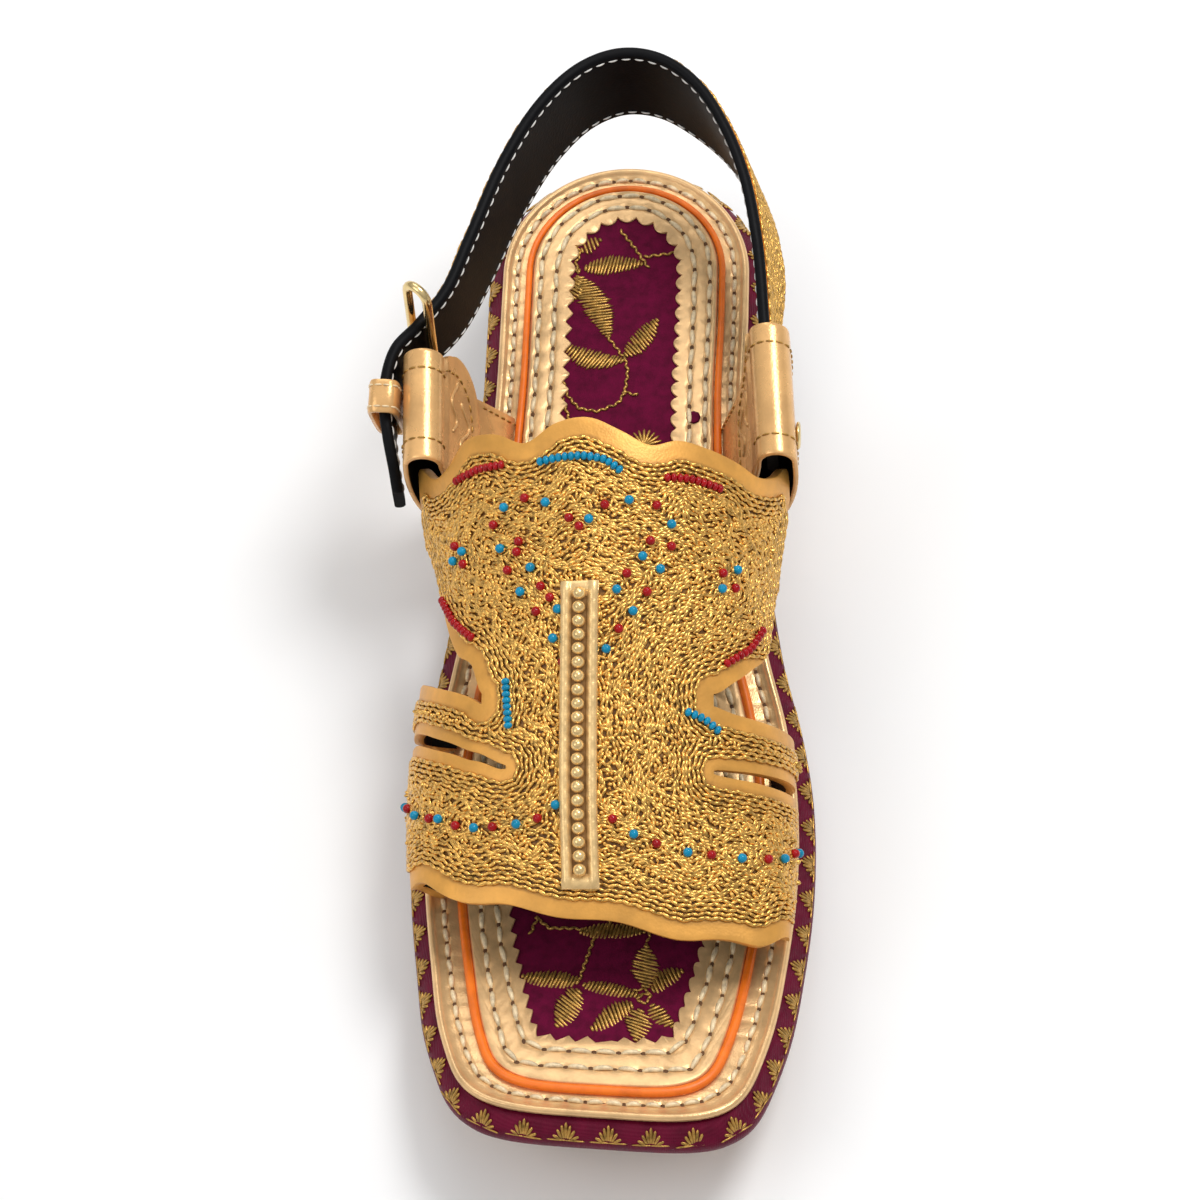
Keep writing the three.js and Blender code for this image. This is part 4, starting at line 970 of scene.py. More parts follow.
def start_tree(name, lengths):
    """Node tree with its named inputs; returns the tree and its inputs."""
    tree = bpy.data.node_groups.new(name, "GeometryNodeTree")
    face = tree.interface
    face.new_socket("Geometry", in_out="INPUT", socket_type="NodeSocketGeometry")
    face.new_socket("Geometry", in_out="OUTPUT", socket_type="NodeSocketGeometry")
    for label, default in lengths.items():
        face.new_socket(label, in_out="INPUT", socket_type="NodeSocketFloat").default_value = default
    face.new_socket("Seed", in_out="INPUT", socket_type="NodeSocketInt")
    face.new_socket("Shape", in_out="INPUT", socket_type="NodeSocketObject")
    face.new_socket("Material", in_out="INPUT", socket_type="NodeSocketMaterial")
    return tree, add_node(tree, "NodeGroupInput").outputs


def vector_attribute(tree, name):
    node = add_node(tree, "GeometryNodeInputNamedAttribute", {"Name": name}, data_type="FLOAT_VECTOR")
    return node.outputs["Attribute"]


def place_shapes(tree, given, points, along, scale):
    """Shapes on points: X along, Z outward, tilted to alternate sides, then made one plain mesh."""
    turn = add_node(tree, "FunctionNodeAlignRotationToVector", links={"Vector": along}, axis="X")
    turn = add_node(tree, "FunctionNodeAlignRotationToVector",
                    links={"Rotation": turn.outputs[0], "Vector": vector_attribute(tree, "outward")},
                    axis="Z", pivot_axis="X")
    index = add_node(tree, "GeometryNodeInputIndex").outputs[0]
    swing = math_node(tree, "MULTIPLY_ADD", math_node(tree, "FLOORED_MODULO", index, 2.0), 2.0, -1.0)
    twist = add_node(tree, "FunctionNodeAxisAngleToRotation", {"Axis": (0.0, 0.0, 1.0)},
                     {"Angle": math_node(tree, "MULTIPLY", swing, given["Tilt"])})
    turn = add_node(tree, "FunctionNodeRotateRotation", rotation_space="LOCAL",
                    links={"Rotation": turn.outputs[0], "Rotate By": twist.outputs[0]})
    vary = add_node(tree, "FunctionNodeRandomValue", data_type="FLOAT",
                    links={"Min": math_node(tree, "SUBTRACT", 1.0, given["Jitter"]),
                           "Max": math_node(tree, "ADD", 1.0, given["Jitter"]), "Seed": given["Seed"]})
    varied = add_node(tree, "ShaderNodeVectorMath", operation="SCALE",
                      links={"Vector": scale, "Scale": vary.outputs["Value"]})
    shape = add_node(tree, "GeometryNodeObjectInfo", links={"Object": given["Shape"]})
    placed = add_node(tree, "GeometryNodeInstanceOnPoints",
                      links={"Points": points, "Instance": shape.outputs["Geometry"],
                             "Rotation": turn.outputs[0], "Scale": varied.outputs["Vector"]})
    plain = add_node(tree, "GeometryNodeRealizeInstances",
                     links={"Geometry": placed.outputs["Instances"]})
    dressed = add_node(tree, "GeometryNodeSetMaterial",
                       links={"Geometry": plain.outputs["Geometry"], "Material": given["Material"]})
    add_node(tree, "NodeGroupOutput", links={"Geometry": dressed.outputs["Geometry"]})


def given_scale(tree, given):
    lengths = {0: given["Length"], 1: given["Width"], 2: given["Height"]}
    return add_node(tree, "ShaderNodeCombineXYZ", links=lengths).outputs["Vector"]


def row_tree():
    """Repeats a shape at an even pitch along paths that carry their outward direction."""
    name = "rows along a path"
    if name in bpy.data.node_groups:
        return bpy.data.node_groups[name]
    tree, given = start_tree(name, {"Pitch": 0.005, **SIZE_INPUTS})
    curve = add_node(tree, "GeometryNodeMeshToCurve", links={"Mesh": given["Geometry"]})
    even = add_node(tree, "GeometryNodeResampleCurve", mode="LENGTH",
                    links={"Curve": curve.outputs["Curve"], "Length": given["Pitch"]})
    along = add_node(tree, "GeometryNodeInputTangent").outputs["Tangent"]
    place_shapes(tree, given, even.outputs["Curve"], along, given_scale(tree, given))
    return tree


def spot_tree():
    """Puts a shape on each point, by the point's own along, outward and size vectors."""
    name = "shapes on points"
    if name in bpy.data.node_groups:
        return bpy.data.node_groups[name]
    tree, given = start_tree(name, SIZE_INPUTS)
    sizes = {0: vector_attribute(tree, "size"), 1: given_scale(tree, given)}
    scale = add_node(tree, "ShaderNodeVectorMath", links=sizes, operation="MULTIPLY").outputs["Vector"]
    place_shapes(tree, given, given["Geometry"], vector_attribute(tree, "along"), scale)
    return tree


def point_mesh(points, edges=(), **vectors):
    """Loose points or edges in the part's frame, with vector attributes."""
    mesh = bpy.data.meshes.new("source")
    mesh.from_pydata(metres(points).tolist(), [tuple(map(int, e)) for e in edges], [])
    for name, values in vectors.items():
        layer = mesh.attributes.new(name, "FLOAT_VECTOR", "POINT")
        layer.data.foreach_set("vector", np.asarray(values, np.float32).ravel())
    return mesh


def spot_mesh(points, outward, along=None, size=None):
    """Source of single shapes: X along, Z outward, at full size unless told otherwise."""
    ones = np.ones((len(points), 3))
    return point_mesh(points, outward=outward, along=ones * [1, 0, 0] if along is None else along,
                      size=ones if size is None else size)


def path_mesh(paths):
    """Source of rows from (points, outward, closed) paths."""
    points, outward, edges, start = [], [], [], 0
    for line, out, closed in paths:
        count = len(line)
        i = np.arange(count if closed else count - 1)
        edges.append(np.stack([i, (i + 1) % count], -1) + start)
        points.append(line)
        outward.append(np.broadcast_to(out, line.shape))
        start += count
    return point_mesh(np.concatenate(points), np.concatenate(edges), outward=np.concatenate(outward))


def repeat(name, source, shape, finish, slot, **sizes):
    """Repeats a shape over a source mesh as one plain mesh; lengths are in millimetres."""
    outline = bpy.data.meshes.new(name + "_shape")
    outline.from_pydata(np.asarray(shape[0]).tolist(), [], [list(map(int, f)) for f in shape[1]])
    outline.shade_smooth()
    pattern = add_object(name + "_shape", outline)
    piece = add_object(name, source)
    nodes = piece.modifiers.new("repeat", "NODES")
    nodes.node_group = tree = row_tree() if "Pitch" in sizes else spot_tree()
    sockets = {item.name: item.identifier for item in tree.interface.items_tree
               if item.in_out == "INPUT"}
    given = {"Shape": pattern, "Material": FINISHES[finish],
             "Seed": bpy.context.scene.sandal_sizes.seed}
    for label, value in sizes.items():
        given[label] = value if label in ("Tilt", "Jitter") else value * MM
    for label, value in given.items():
        nodes[sockets[label]] = value
    bake(piece)
    bpy.data.objects.remove(pattern)
    bpy.data.meshes.remove(outline)
    return settle(piece, slot)


def lathe_shape(profile, sides):
    """Closed shape turned round Z from (radius, z) points, with a pole at each end."""
    (_, low), *middle, (_, high) = profile
    turn = full_turn(sides)
    rings = [np.stack([r * np.cos(turn), r * np.sin(turn), np.full(sides, z)], -1) for r, z in middle]
    points = np.concatenate([*rings, [[0, 0, low], [0, 0, high]]])
    faces = [list(reversed(f)) for f in grid_faces(len(middle), sides, wrap_rows=True)]
    last = (len(middle) - 1) * sides
    bottom, top = len(points) - 2, len(points) - 1
    for i in range(sides):
        j = (i + 1) % sides
        faces.append([bottom, j, i])
        faces.append([top, last + i, last + j])
    return points, faces


def sphere_shape(sides=12, rings=7):
    angles = np.linspace(-math.pi / 2, math.pi / 2, rings + 1)
    return lathe_shape([(0.5 * math.cos(a), 0.5 * math.sin(a)) for a in angles], sides)


def grain_shape():
    """Link of couched cord: a plump grain of unit size along X."""
    points, faces = lathe_shape([(0, -0.5), (0.38, -0.37), (0.5, 0.0), (0.38, 0.37), (0, 0.5)], 6)
    return points[:, [2, 0, 1]], faces


def stitch_shape():
    """Lock stitch: thread that rises from one hole and sinks into the next, of unit size along X."""
    steps, sides = 7, 6
    x = np.linspace(-0.5, 0.5, steps)
    lift = 0.42 * np.cos(x * math.pi)**0.6 - 0.25
    thick = np.array([0.28, 0.42, 0.5, 0.5, 0.5, 0.42, 0.28])
    turn = full_turn(sides)
    points = np.concatenate([np.stack([np.full(sides, at), r * np.cos(turn), up + r * np.sin(turn)], -1)
                             for at, r, up in zip(x, thick, lift)])
    faces = [list(f) for f in grid_faces(steps, sides, wrap_rows=True)]
    faces += [list(range(sides)), list(range((steps - 1) * sides, steps * sides))[::-1]]
    return points, [f[::-1] for f in faces]


def pebble_shape():
    return lathe_shape([(0, 0.0), (0.22, 0.02), (0.42, 0.18), (0.5, 0.55), (0.46, 1.0), (0, 1.0)], 10)


def dimple_shape():
    return lathe_shape([(0, -0.1), (0.5, 0.0), (0.3, 0.12), (0, 0.14)], 8)


def fan_shape():
    """Embroidered fan of unit width that opens towards -Y: petals that shorten to both sides."""
    grain, faces = grain_shape()
    points, joined = [], []

    def petal(start, angle, size, width):
        c, s = math.cos(angle), math.sin(angle)
        base = (grain + [0.5, 0, 0]) * [size, width, 0.09]
        x, y, z = base.T
        turned = np.stack([x * c - y * s, x * s + y * c, z], -1)
        joined.extend([[i + len(points) * len(grain) for i in f] for f in faces])
        points.append(turned + [*start, 0])

    for k in range(-3, 4):
        start, tip = np.array([0.05 * k, 0.28]), np.array([0.14 * k, -0.32 + 0.105 * abs(k)**1.35])
        way = tip - start
        petal(start, math.atan2(way[1], way[0]), math.hypot(*way), 0.125)
    for side in (0, math.pi):
        petal((-0.05 * math.cos(side), 0.30), side, 0.67, 0.07)
    return np.concatenate(points), joined


class SandalOperator:
    """Shared by the operators that build pieces; hands them the sizes in millimetres."""

    bl_options = {"REGISTER"}

    def execute(self, context):
        group = context.scene.sandal_sizes
        sizes = {key: getattr(group, key) / MM for key in group.__annotations__ if key != "seed"}
        self.build(SimpleNamespace(seed=group.seed, **sizes))
        return {"FINISHED"}


class SANDAL_OT_tread(SandalOperator, bpy.types.Operator):
    """Rubber tread pad with its pebbles, and the heel"""

    bl_idname = "sandal.tread"
    bl_label = "Tread and heel"

    def ends(self, u):
        """Front and rear y of the pad at u, from -1 to 1 across it."""
        return mix(PAD_FRONT, (u + 1) / 2), PAD_TIP_Y - PAD_NOTCH * (1 - np.abs(u))

    def pad_point(self, u, v, height):
        y = mix(self.ends(u), v)
        return np.stack([mix(rim_span(y, PAD_INSET), (u + 1) / 2), y, rise(y) + height], -1)

    def build(self, sizes):
        u, v = np.meshgrid(np.linspace(-1, 1, 41), np.linspace(0, 1, 61), indexing="ij")
        shape, _ = wall(self.pad_point(u, v, PAD_TOP), self.pad_point(u * 0.97, 0.01 + v * 0.98, 1.1))
        new_piece("tread_pad_base", shape, "rubber", "black_rubber", "tread_pad", bevel=0.4)

        pitch = sizes.pebble_pitch
        room = pitch * PEBBLE_ROOM
        spots = []
        for row in PEBBLE_ROWS:
            for column in PEBBLE_COLUMNS:
                x = (column + 0.5 * (row % 2)) * pitch
                y = PAD_TIP_Y - row * pitch * math.sqrt(0.75)
                left, right = rim_span(y, PAD_INSET)
                u = 2 * (x - left) / (right - left) - 1
                front, rear = self.ends(u)
                inside = abs(u) < 1 - 2 * room / (right - left)
                if inside and front + room < y < rear - room * PEBBLE_REAR_ROOM:
                    spots.append((x, y, rise(y)))
        spots = np.array(spots)
        source = spot_mesh(spots, bed_normal(spots[:, 1]))
        repeat("tread_pebbles", source, pebble_shape(), "rubber", "black_rubber", Length=pitch,
               Width=pitch, Height=PEBBLE_HEIGHT)

        loops, top = [], HEEL_EDGE[-1][1]
        for inset, height, flare in HEEL_EDGE:
            line = HEEL_INSET + HEEL_TAPER * (1 - flare) + inset
            front = HEEL_FRONT_Y + HEEL_TAPER * (1 - flare) + inset
            low = sole_loop(line, 0.0, front_y=front, flat=True, sides=40)
            high = sole_loop(line, PAD_TOP, front_y=front, sides=40)
            loops.append(mix((low, high), height / top))
        new_piece("heel_block", plate(loops), "rubber", "black_rubber", "heel_lift")


class SANDAL_OT_outsole(SandalOperator, bpy.types.Operator):
    """Leather outsole with its stitched groove"""

    bl_idname = "sandal.outsole"
    bl_label = "Outsole"

    def build(self, sizes):
        low, high = OUTSOLE_BOTTOM, OUTSOLE_TOP
        edge = [(10.2, low), (9.8, low + 0.5), (5.2, low + 0.5), (4.8, low), (0.2, low),
                (-0.6, low + 0.15), (-1.2, low + 0.5), (-1.5, low + 1.1), (-1.5, high - 0.9),
                (-1.2, high - 0.3), (-0.7, high)]
        loops = [sole_loop(inset, height) for inset, height in edge]
        new_piece("outsole_leather", plate(loops), "sole", "tan_leather", "outsole")
        rows = []
        for inset in (5.9, 9.0):
            line = sole_loop(inset, low + 0.45)
            rows.append((line, -bed_normal(line[:, 1]), True))
        repeat("outsole_stitches", path_mesh(rows), stitch_shape(), "sewing", "tan_leather", Pitch=4.6,
               Length=4.0, Width=0.9, Height=0.9)


class SANDAL_OT_edge_band(SandalOperator, bpy.types.Operator):
    """Satin band round the sole with its embroidered fans"""

    bl_idname = "sandal.edge_band"
    bl_label = "Edge band"

    def inset(self, height):
        """The face slopes out from under the rim and turns in above the outsole."""
        down = np.clip((BAND_TOP - height) / (BAND_TOP - OUTSOLE_TOP), 0, 1)
        slope = BAND_START - BAND_SWELL * math.sin(min(down / BAND_TURN, 1) * math.pi / 2)**0.9
        return float(slope + BAND_TUCK * max((down - BAND_TURN) / (1 - BAND_TURN), 0)**2.5)

    def build(self, sizes):
        share = (1 - np.cos(np.linspace(0, math.pi, 15))) / 2
        heights = OUTSOLE_TOP - 0.1 + (BAND_TOP + 0.2 - OUTSOLE_TOP) * share
        loops = [sole_loop(self.inset(h), h) for h in heights]
        new_piece("satin_band", plate(loops), "satin", "maroon_satin", "edge_band", sharp=60)
        line = even_loop(sole_loop(self.inset(FAN_HEIGHT) - 0.1, FAN_HEIGHT), 2.0)
        outward = unit(loop_outward(line) + [0.0, 0.0, FAN_LEAN])
        width = sizes.fan_pitch * FAN_SHARE
        source = path_mesh([(line, outward, True)])
        repeat("fan_embroidery", source, fan_shape(), "leaf", "maroon_satin", Pitch=sizes.fan_pitch,
               Length=width, Width=width, Height=width)


class SANDAL_OT_footbed(SandalOperator, bpy.types.Operator):
    """Footbed: rolled rim, piping, pinked frame and velvet insert"""

    bl_idname = "sandal.footbed"
    bl_label = "Footbed"

    def build(self, sizes):
        rim_loops, *rim_places = stitch_row(RIM_ROW, BASE_TOP, sizes.rim_pitch)
        roll = [(1.5, BAND_TOP - 0.1), (0.9, 17.5), (0.55, 18.1), (0.45, 18.8), (0.6, 19.5),
                (0.95, 20.0), (1.35, 20.25), (1.75, RIM_TOP), (2.1, 20.2), (2.45, 19.9), (2.75, 19.5)]
        loops = [sole_loop(inset, height, toe=inset + RIM_SHIFT, back=inset - RIM_SHIFT, **FINE)
                 for inset, height in roll]
        new_piece("footbed_leather", plate(loops + rim_loops), "gold", "gold_leather", "footbed_base",
                  sharp=50)

        middle = sole_loop(height=BASE_TOP + PIPING_RADIUS * 0.95, **PIPING_LINE)
        thick = PIPING_RADIUS * (1 - 0.3 * smoothstep(middle[:, 1:2], 10, 100))
        out = loop_outward(middle)
        loops = [middle + thick * (out * math.cos(a) + np.array([0.0, 0.0, math.sin(a)]))
                 for a in full_turn(12)]
        new_piece("piping_cord", ring(loops), "cord", "orange_cord", "piping", sharp=60)

        outer = moved_line(PIPING_LINE, PIPING_SEAT - 0.15)
        inner = {**moved_line(moved_line(PIPING_LINE, PIPING_SEAT), FRAME_WIDTH),
                 "corner": FRAME_CORNER}
        lip = fine_loop(inner, 0.0)
        away = unit(fine_loop(inner, 0.0, -2.0) - lip)
        run, total = loop_run(lip)
        tooth = np.mod(run / total * round(total / sizes.tooth_pitch), 1.0)
        medial = smoothstep(lip[:, 0], *LOBES_X) * smoothstep(lip[:, 1], *LOBES_TOE_Y)
        lobed = np.maximum(medial, smoothstep(lip[:, 1], *LOBES_HEEL_Y))
        wave = (1 - lobed) * np.abs(tooth * 2 - 1) + lobed * (1 - np.sin(np.pi * tooth)**0.55)
        notch = away * (wave * sizes.tooth_depth - TOOTH_OVERHANG)[:, None]
        outer_loops, *outer_places = stitch_row(OUTER_ROW, FRAME_TOP, sizes.frame_pitch)
        inner_loops, *inner_places = stitch_row(INNER_ROW, FRAME_TOP, sizes.frame_pitch)
        edge = [(0.0, BASE_TOP), (0.0, 20.5), (0.12, 20.95), (0.35, 21.3), (0.7, FRAME_TOP)]
        loops = [fine_loop(outer, height, inset) for inset, height in edge]
        loops += outer_loops + inner_loops
        loops.append(fine_loop(inner, FRAME_TOP, -1.9))
        edge = [(0.3, FRAME_TOP - 0.05), (0.0, FRAME_TOP - 0.3), (0.1, INSERT_TOP + 0.1)]
        loops += [lip + notch + [0, 0, height] + away * back for back, height in edge]
        loops.append(fine_loop(inner, INSERT_TOP + 0.02, -4.4))
        loops.append(fine_loop(inner, BASE_TOP, -4.6))
        new_piece("pinked_frame", ring(loops), "frame", "gold_leather", "footbed_frame", sharp=40)

        insert = moved_line(inner, -4.3)
        loops = [sole_loop(height=BASE_TOP, **insert), sole_loop(height=INSERT_TOP, **insert)]
        new_piece("velvet_insert", plate(loops), "velvet", "maroon_velvet", "footbed_insert")

        for name, (stitches, holes), pitch in (("rim", rim_places, sizes.rim_pitch),
                                               ("outer", outer_places, sizes.frame_pitch),
                                               ("inner", inner_places, sizes.frame_pitch)):
            up = bed_normal(stitches[:, 1])
            way = unit(np.roll(holes, -1, 0) - holes)
            source = spot_mesh(stitches + up * STITCH_LIFT, up, way)
            repeat(name + "_stitches", source, stitch_shape(), "sewing", "gold_leather",
                   Length=pitch * 0.8, Width=1.5, Height=1.35, Tilt=0.09, Jitter=0.06)
            # Dark discs sunk in the dents of the stitch holes: painted shade of the holes
            up = bed_normal(holes[:, 1])
            source = spot_mesh(holes - up * HOLE_SINK, up, way)
            repeat(name + "_holes", source, dimple_shape(), "hole", "gold_leather", Length=1.7,
                   Width=1.35, Height=0.9)

        x, y, radius = FRAME_HOLE
        spot = np.array([[x, y, rise(y) + FRAME_TOP + 0.32]])
        source = spot_mesh(spot, bed_normal(spot[:, 1]))
        repeat("frame_hole", source, dimple_shape(), "velvet", "maroon_velvet", Length=2 * radius,
               Width=2 * radius, Height=0.8)


class SANDAL_OT_insert_embroidery(SandalOperator, bpy.types.Operator):
    """Leaves, stems and fan stitched on the velvet insert"""

    bl_idname = "sandal.insert_embroidery"
    bl_label = "Insert embroidery"

    def build(self, sizes):
        rng = np.random.default_rng(sizes.seed)
        spots, along, size = [], [], []

        def stitch(x, y, direction, length, width):
            spots.append((x, y, rise(y) + INSERT_TOP + 0.15))
            along.append((direction[0], direction[1], 0.0))
            size.append((length, width, 0.9))

        for bx, by, tx, ty, half, bow in LEAVES:
            base, tip = np.array([bx, by]), np.array([tx, ty])
            span = np.linalg.norm(tip - base)
            run = (tip - base) / span
            side = np.array([-run[1], run[0]])
            for share in np.linspace(0.03, 0.97, max(int(span / LEAF_STEP), 5)):
                centre = base + run * span * share + side * bow * 4 * share * (1 - share)
                width = LEAF_FULLNESS * half * math.sin(math.pi * share**0.85)**0.75 + 0.6
                slant = side + run * (LEAF_SLANT + rng.uniform(-LEAF_WANDER, LEAF_WANDER))
                stitch(*centre, slant / np.linalg.norm(slant), width * rng.uniform(0.92, 1.08), 1.0)
        x, y, radius = INSERT_FAN
        for k in range(9):
            angle = math.radians(20 + 17.5 * k)
            way = np.array([math.cos(angle), math.sin(angle)])
            stitch(*(np.array([x, y]) + way * radius * 0.55), way, radius, 0.95)
        spots, along = np.array(spots), np.array(along)
        source = spot_mesh(spots, bed_normal(spots[:, 1]), along, np.array(size))
        repeat("leaf_stitches", source, grain_shape(), "leaf", "maroon_velvet", Length=1.0, Width=1.0,
               Height=1.0, Jitter=0.05)
        rows = []
        for stem in STEMS:
            line = np.array(stem)
            run = np.concatenate([[0], np.cumsum(np.linalg.norm(np.diff(line, axis=0), axis=1))])
            at = np.linspace(0, run[-1], max(int(run[-1]), 3))
            x, y = np.interp(at, run, line[:, 0]), np.interp(at, run, line[:, 1])
            rows.append((np.stack([x, y, rise(y) + INSERT_TOP + 0.2], -1), bed_normal(y), False))
        repeat("stem_stitches", path_mesh(rows), grain_shape(), "leaf", "maroon_velvet", Pitch=1.25,
               Length=1.9, Width=0.9, Height=0.9, Tilt=0.5, Jitter=0.1)


def vamp_grid():
    """Columns u and rows y of the vamp with the cells that are leather."""
    stops = [-1, -WING_END, -NOTCH_END, SLIT_LATERAL, SLIT_MEDIAL, WING_END, 1]
    counts = [24, 32, 6, 44, 32, 24]
    columns = [np.linspace(a, b, n + 1)[:-1] for a, b, n in zip(stops, stops[1:], counts)]
    columns = np.concatenate(columns + [[1.0]])
    bands = {"toe": 26, "slit": 2, "strap": 12, "notch": 4, "wing": 44}
    lines = cut_lines(columns)
    y = [mix((lines[:, k:k + 1], lines[:, k + 1:k + 2]), np.linspace(0, 1, n + 1)[None, :-1])
         for k, n in enumerate(bands.values())]
    y = np.concatenate(y + [lines[:, 5:6]], axis=1)
    u_mid = (columns[1:] + columns[:-1])[:, None] / 2
    row = np.array([name for name, n in bands.items() for _ in range(n)])[None]
    opened = (((row == "slit") & ((u_mid < SLIT_LATERAL) | (u_mid > SLIT_MEDIAL)))
              | ((row == "notch") & (np.abs(u_mid) > NOTCH_END))
              | ((row == "wing") & (np.abs(u_mid) > WING_END)))
    return np.broadcast_to(columns[:, None], y.shape), y, ~opened


class SANDAL_OT_vamp(SandalOperator, bpy.types.Operator):
    """Leather wall of the vamp with its bare borders and black lining"""

    bl_idname = "sandal.vamp"
    bl_label = "Vamp"

    def build(self, sizes):
        u, y, present = vamp_grid()
        shape, is_inner = wall(vamp_point(u, y, 0), vamp_point(u, y, VAMP_WALL), present)
        piece = new_piece("vamp_leather", shape, "border lining", "embroidery", "vamp",
                          face_slots=is_inner, bevel=0.5)
        spots = np.empty((len(piece.data.vertices), 3))
        piece.data.vertices.foreach_get("co", spots.reshape(-1))
        inside = border_distance(spots / MM - ORIGIN_SHIFT)
        # Painted shade under the cords: its share by distance inside the embroidery's edge
        cover = piece.data.attributes.new("cover", "FLOAT", "POINT")
        cover.data.foreach_set("value", smoothstep(inside, *CORD_SHADE_RUN).astype(np.float32))


class SANDAL_OT_vamp_embroidery(SandalOperator, bpy.types.Operator):
    """Rows of couched gold cord that follow the cut lines of the vamp"""

    bl_idname = "sandal.vamp_embroidery"
    bl_label = "Vamp embroidery"

    def build(self, sizes):
        rng = np.random.default_rng(sizes.seed)
        u, y = np.meshgrid(np.linspace(-1, 1, 440), np.linspace(-100, 34, 270), indexing="ij")
        points, normals = arch_point(u, y), arch_normal(u, y)
        depth = np.where(on_vamp(u, y), border_distance(points), -5.0)
        cloth = np.stack([u * 105.0, y * 1.15], -1)
        deep = smoothstep(depth, *WANDER_RUN)
        bends = waves(cloth, *BENDS, rng) * (EDGE_WANDER + WANDER * deep)
        curls = waves(cloth, *CURLS, rng) * WANDER * deep
        field = depth + bends + curls
        field = np.where(depth < 0.0, np.minimum(field, 0.0), field)
        spacing = sizes.row_spacing
        levels = np.arange(CORD_START, field.max(), spacing)
        spots, outward, edges = contours(field, points + normals * CORD_LIFT, normals, levels)

        def under_strip(places):
            middle = arch_point(np.full(len(places), STRIP_U), places[:, 1])[:, 0]
            return ((np.abs(places[:, 0] - middle) < STRIP_HALF - 0.5)
                    & (places[:, 1] > STRIP_FRONT + 1) & (places[:, 1] < STRIP_REAR - 1))

        edges = edges[~under_strip(spots)[edges].any(axis=1)]
        toe = spots[edges].mean(axis=1)[:, 1] < TOE_CORD_END
        for name, chosen in (("toe_cord", edges[toe]), ("wing_cord", edges[~toe])):
            used, packed = np.unique(chosen, return_inverse=True)
            source = point_mesh(spots[used], packed.reshape(-1, 2), outward=outward[used])
            repeat(name, source, grain_shape(), "thread", "embroidery", Pitch=sizes.chain_length * 0.6,
                   Length=sizes.chain_length, Width=sizes.chain_width, Height=1.1, Tilt=0.24,
                   Jitter=0.16)

        free = np.argwhere(depth > 0.5)
        rng.shuffle(free)
        knots = []
        cells = {}

        def cell(place):
            return tuple(np.floor(place / spacing).astype(int))

        for place in spots:
            cells.setdefault(cell(place), []).append(place)
        for i, j in free:
            place = points[i, j] + normals[i, j] * CORD_LIFT
            base = cell(place)
            near = [other for dx in (-1, 0, 1) for dy in (-1, 0, 1) for dz in (-1, 0, 1)
                    for other in cells.get((base[0] + dx, base[1] + dy, base[2] + dz), ())]
            if near and np.linalg.norm(np.array(near) - place, axis=1).min() < spacing * KNOT_ROOM:
                continue
            cells.setdefault(base, []).append(place)
            knots.append((i, j))
        knots = np.array(knots)
        spots, out = (grid[knots[:, 0], knots[:, 1]] for grid in (points, normals))
        shown = ~under_strip(spots)
        spots, out = spots[shown], out[shown]
        size = rng.uniform(0.8, 1.2, (len(spots), 1)) * np.ones(3)
        source = spot_mesh(spots + out * KNOT_LIFT, out, unit(rng.normal(size=spots.shape)), size)
        repeat("gold_knots", source, grain_shape(), "knot", "embroidery", Length=1.5, Width=1.05,
               Height=1.0)


class SANDAL_OT_beads(SandalOperator, bpy.types.Operator):
    """Red and turquoise beads: heart, side flowers, arcs and the row over the toes"""

    bl_idname = "sandal.beads"
    bl_label = "Beads"

    def build(self, sizes):
        for name, singles, rows in (("red", RED_BEADS, RED_ROWS), ("blue", BLUE_BEADS, BLUE_ROWS)):
            u, y = np.array(singles).T
            source = spot_mesh(vamp_point(u, y, -BEAD_LIFT), arch_normal(u, y))
            size = sizes.bead_size
            repeat(name + "_beads", source, sphere_shape(14, 9), name, "embroidery", Length=size,
                   Width=size, Height=size * 0.92)
            paths = []
            for row in rows:
                stops = np.array(row)
                at = np.linspace(0, len(stops) - 1, 24)
                u, y = (np.interp(at, np.arange(len(stops)), stops[:, k]) for k in (0, 1))
                paths.append((vamp_point(u, y, -ROW_LIFT), arch_normal(u, y), False))
            size = sizes.small_bead_size
            repeat(name + "_rows", path_mesh(paths), sphere_shape(12, 7), name, "embroidery",
                   Pitch=size * 0.86, Length=size * 0.96, Width=size * 1.25, Height=size)


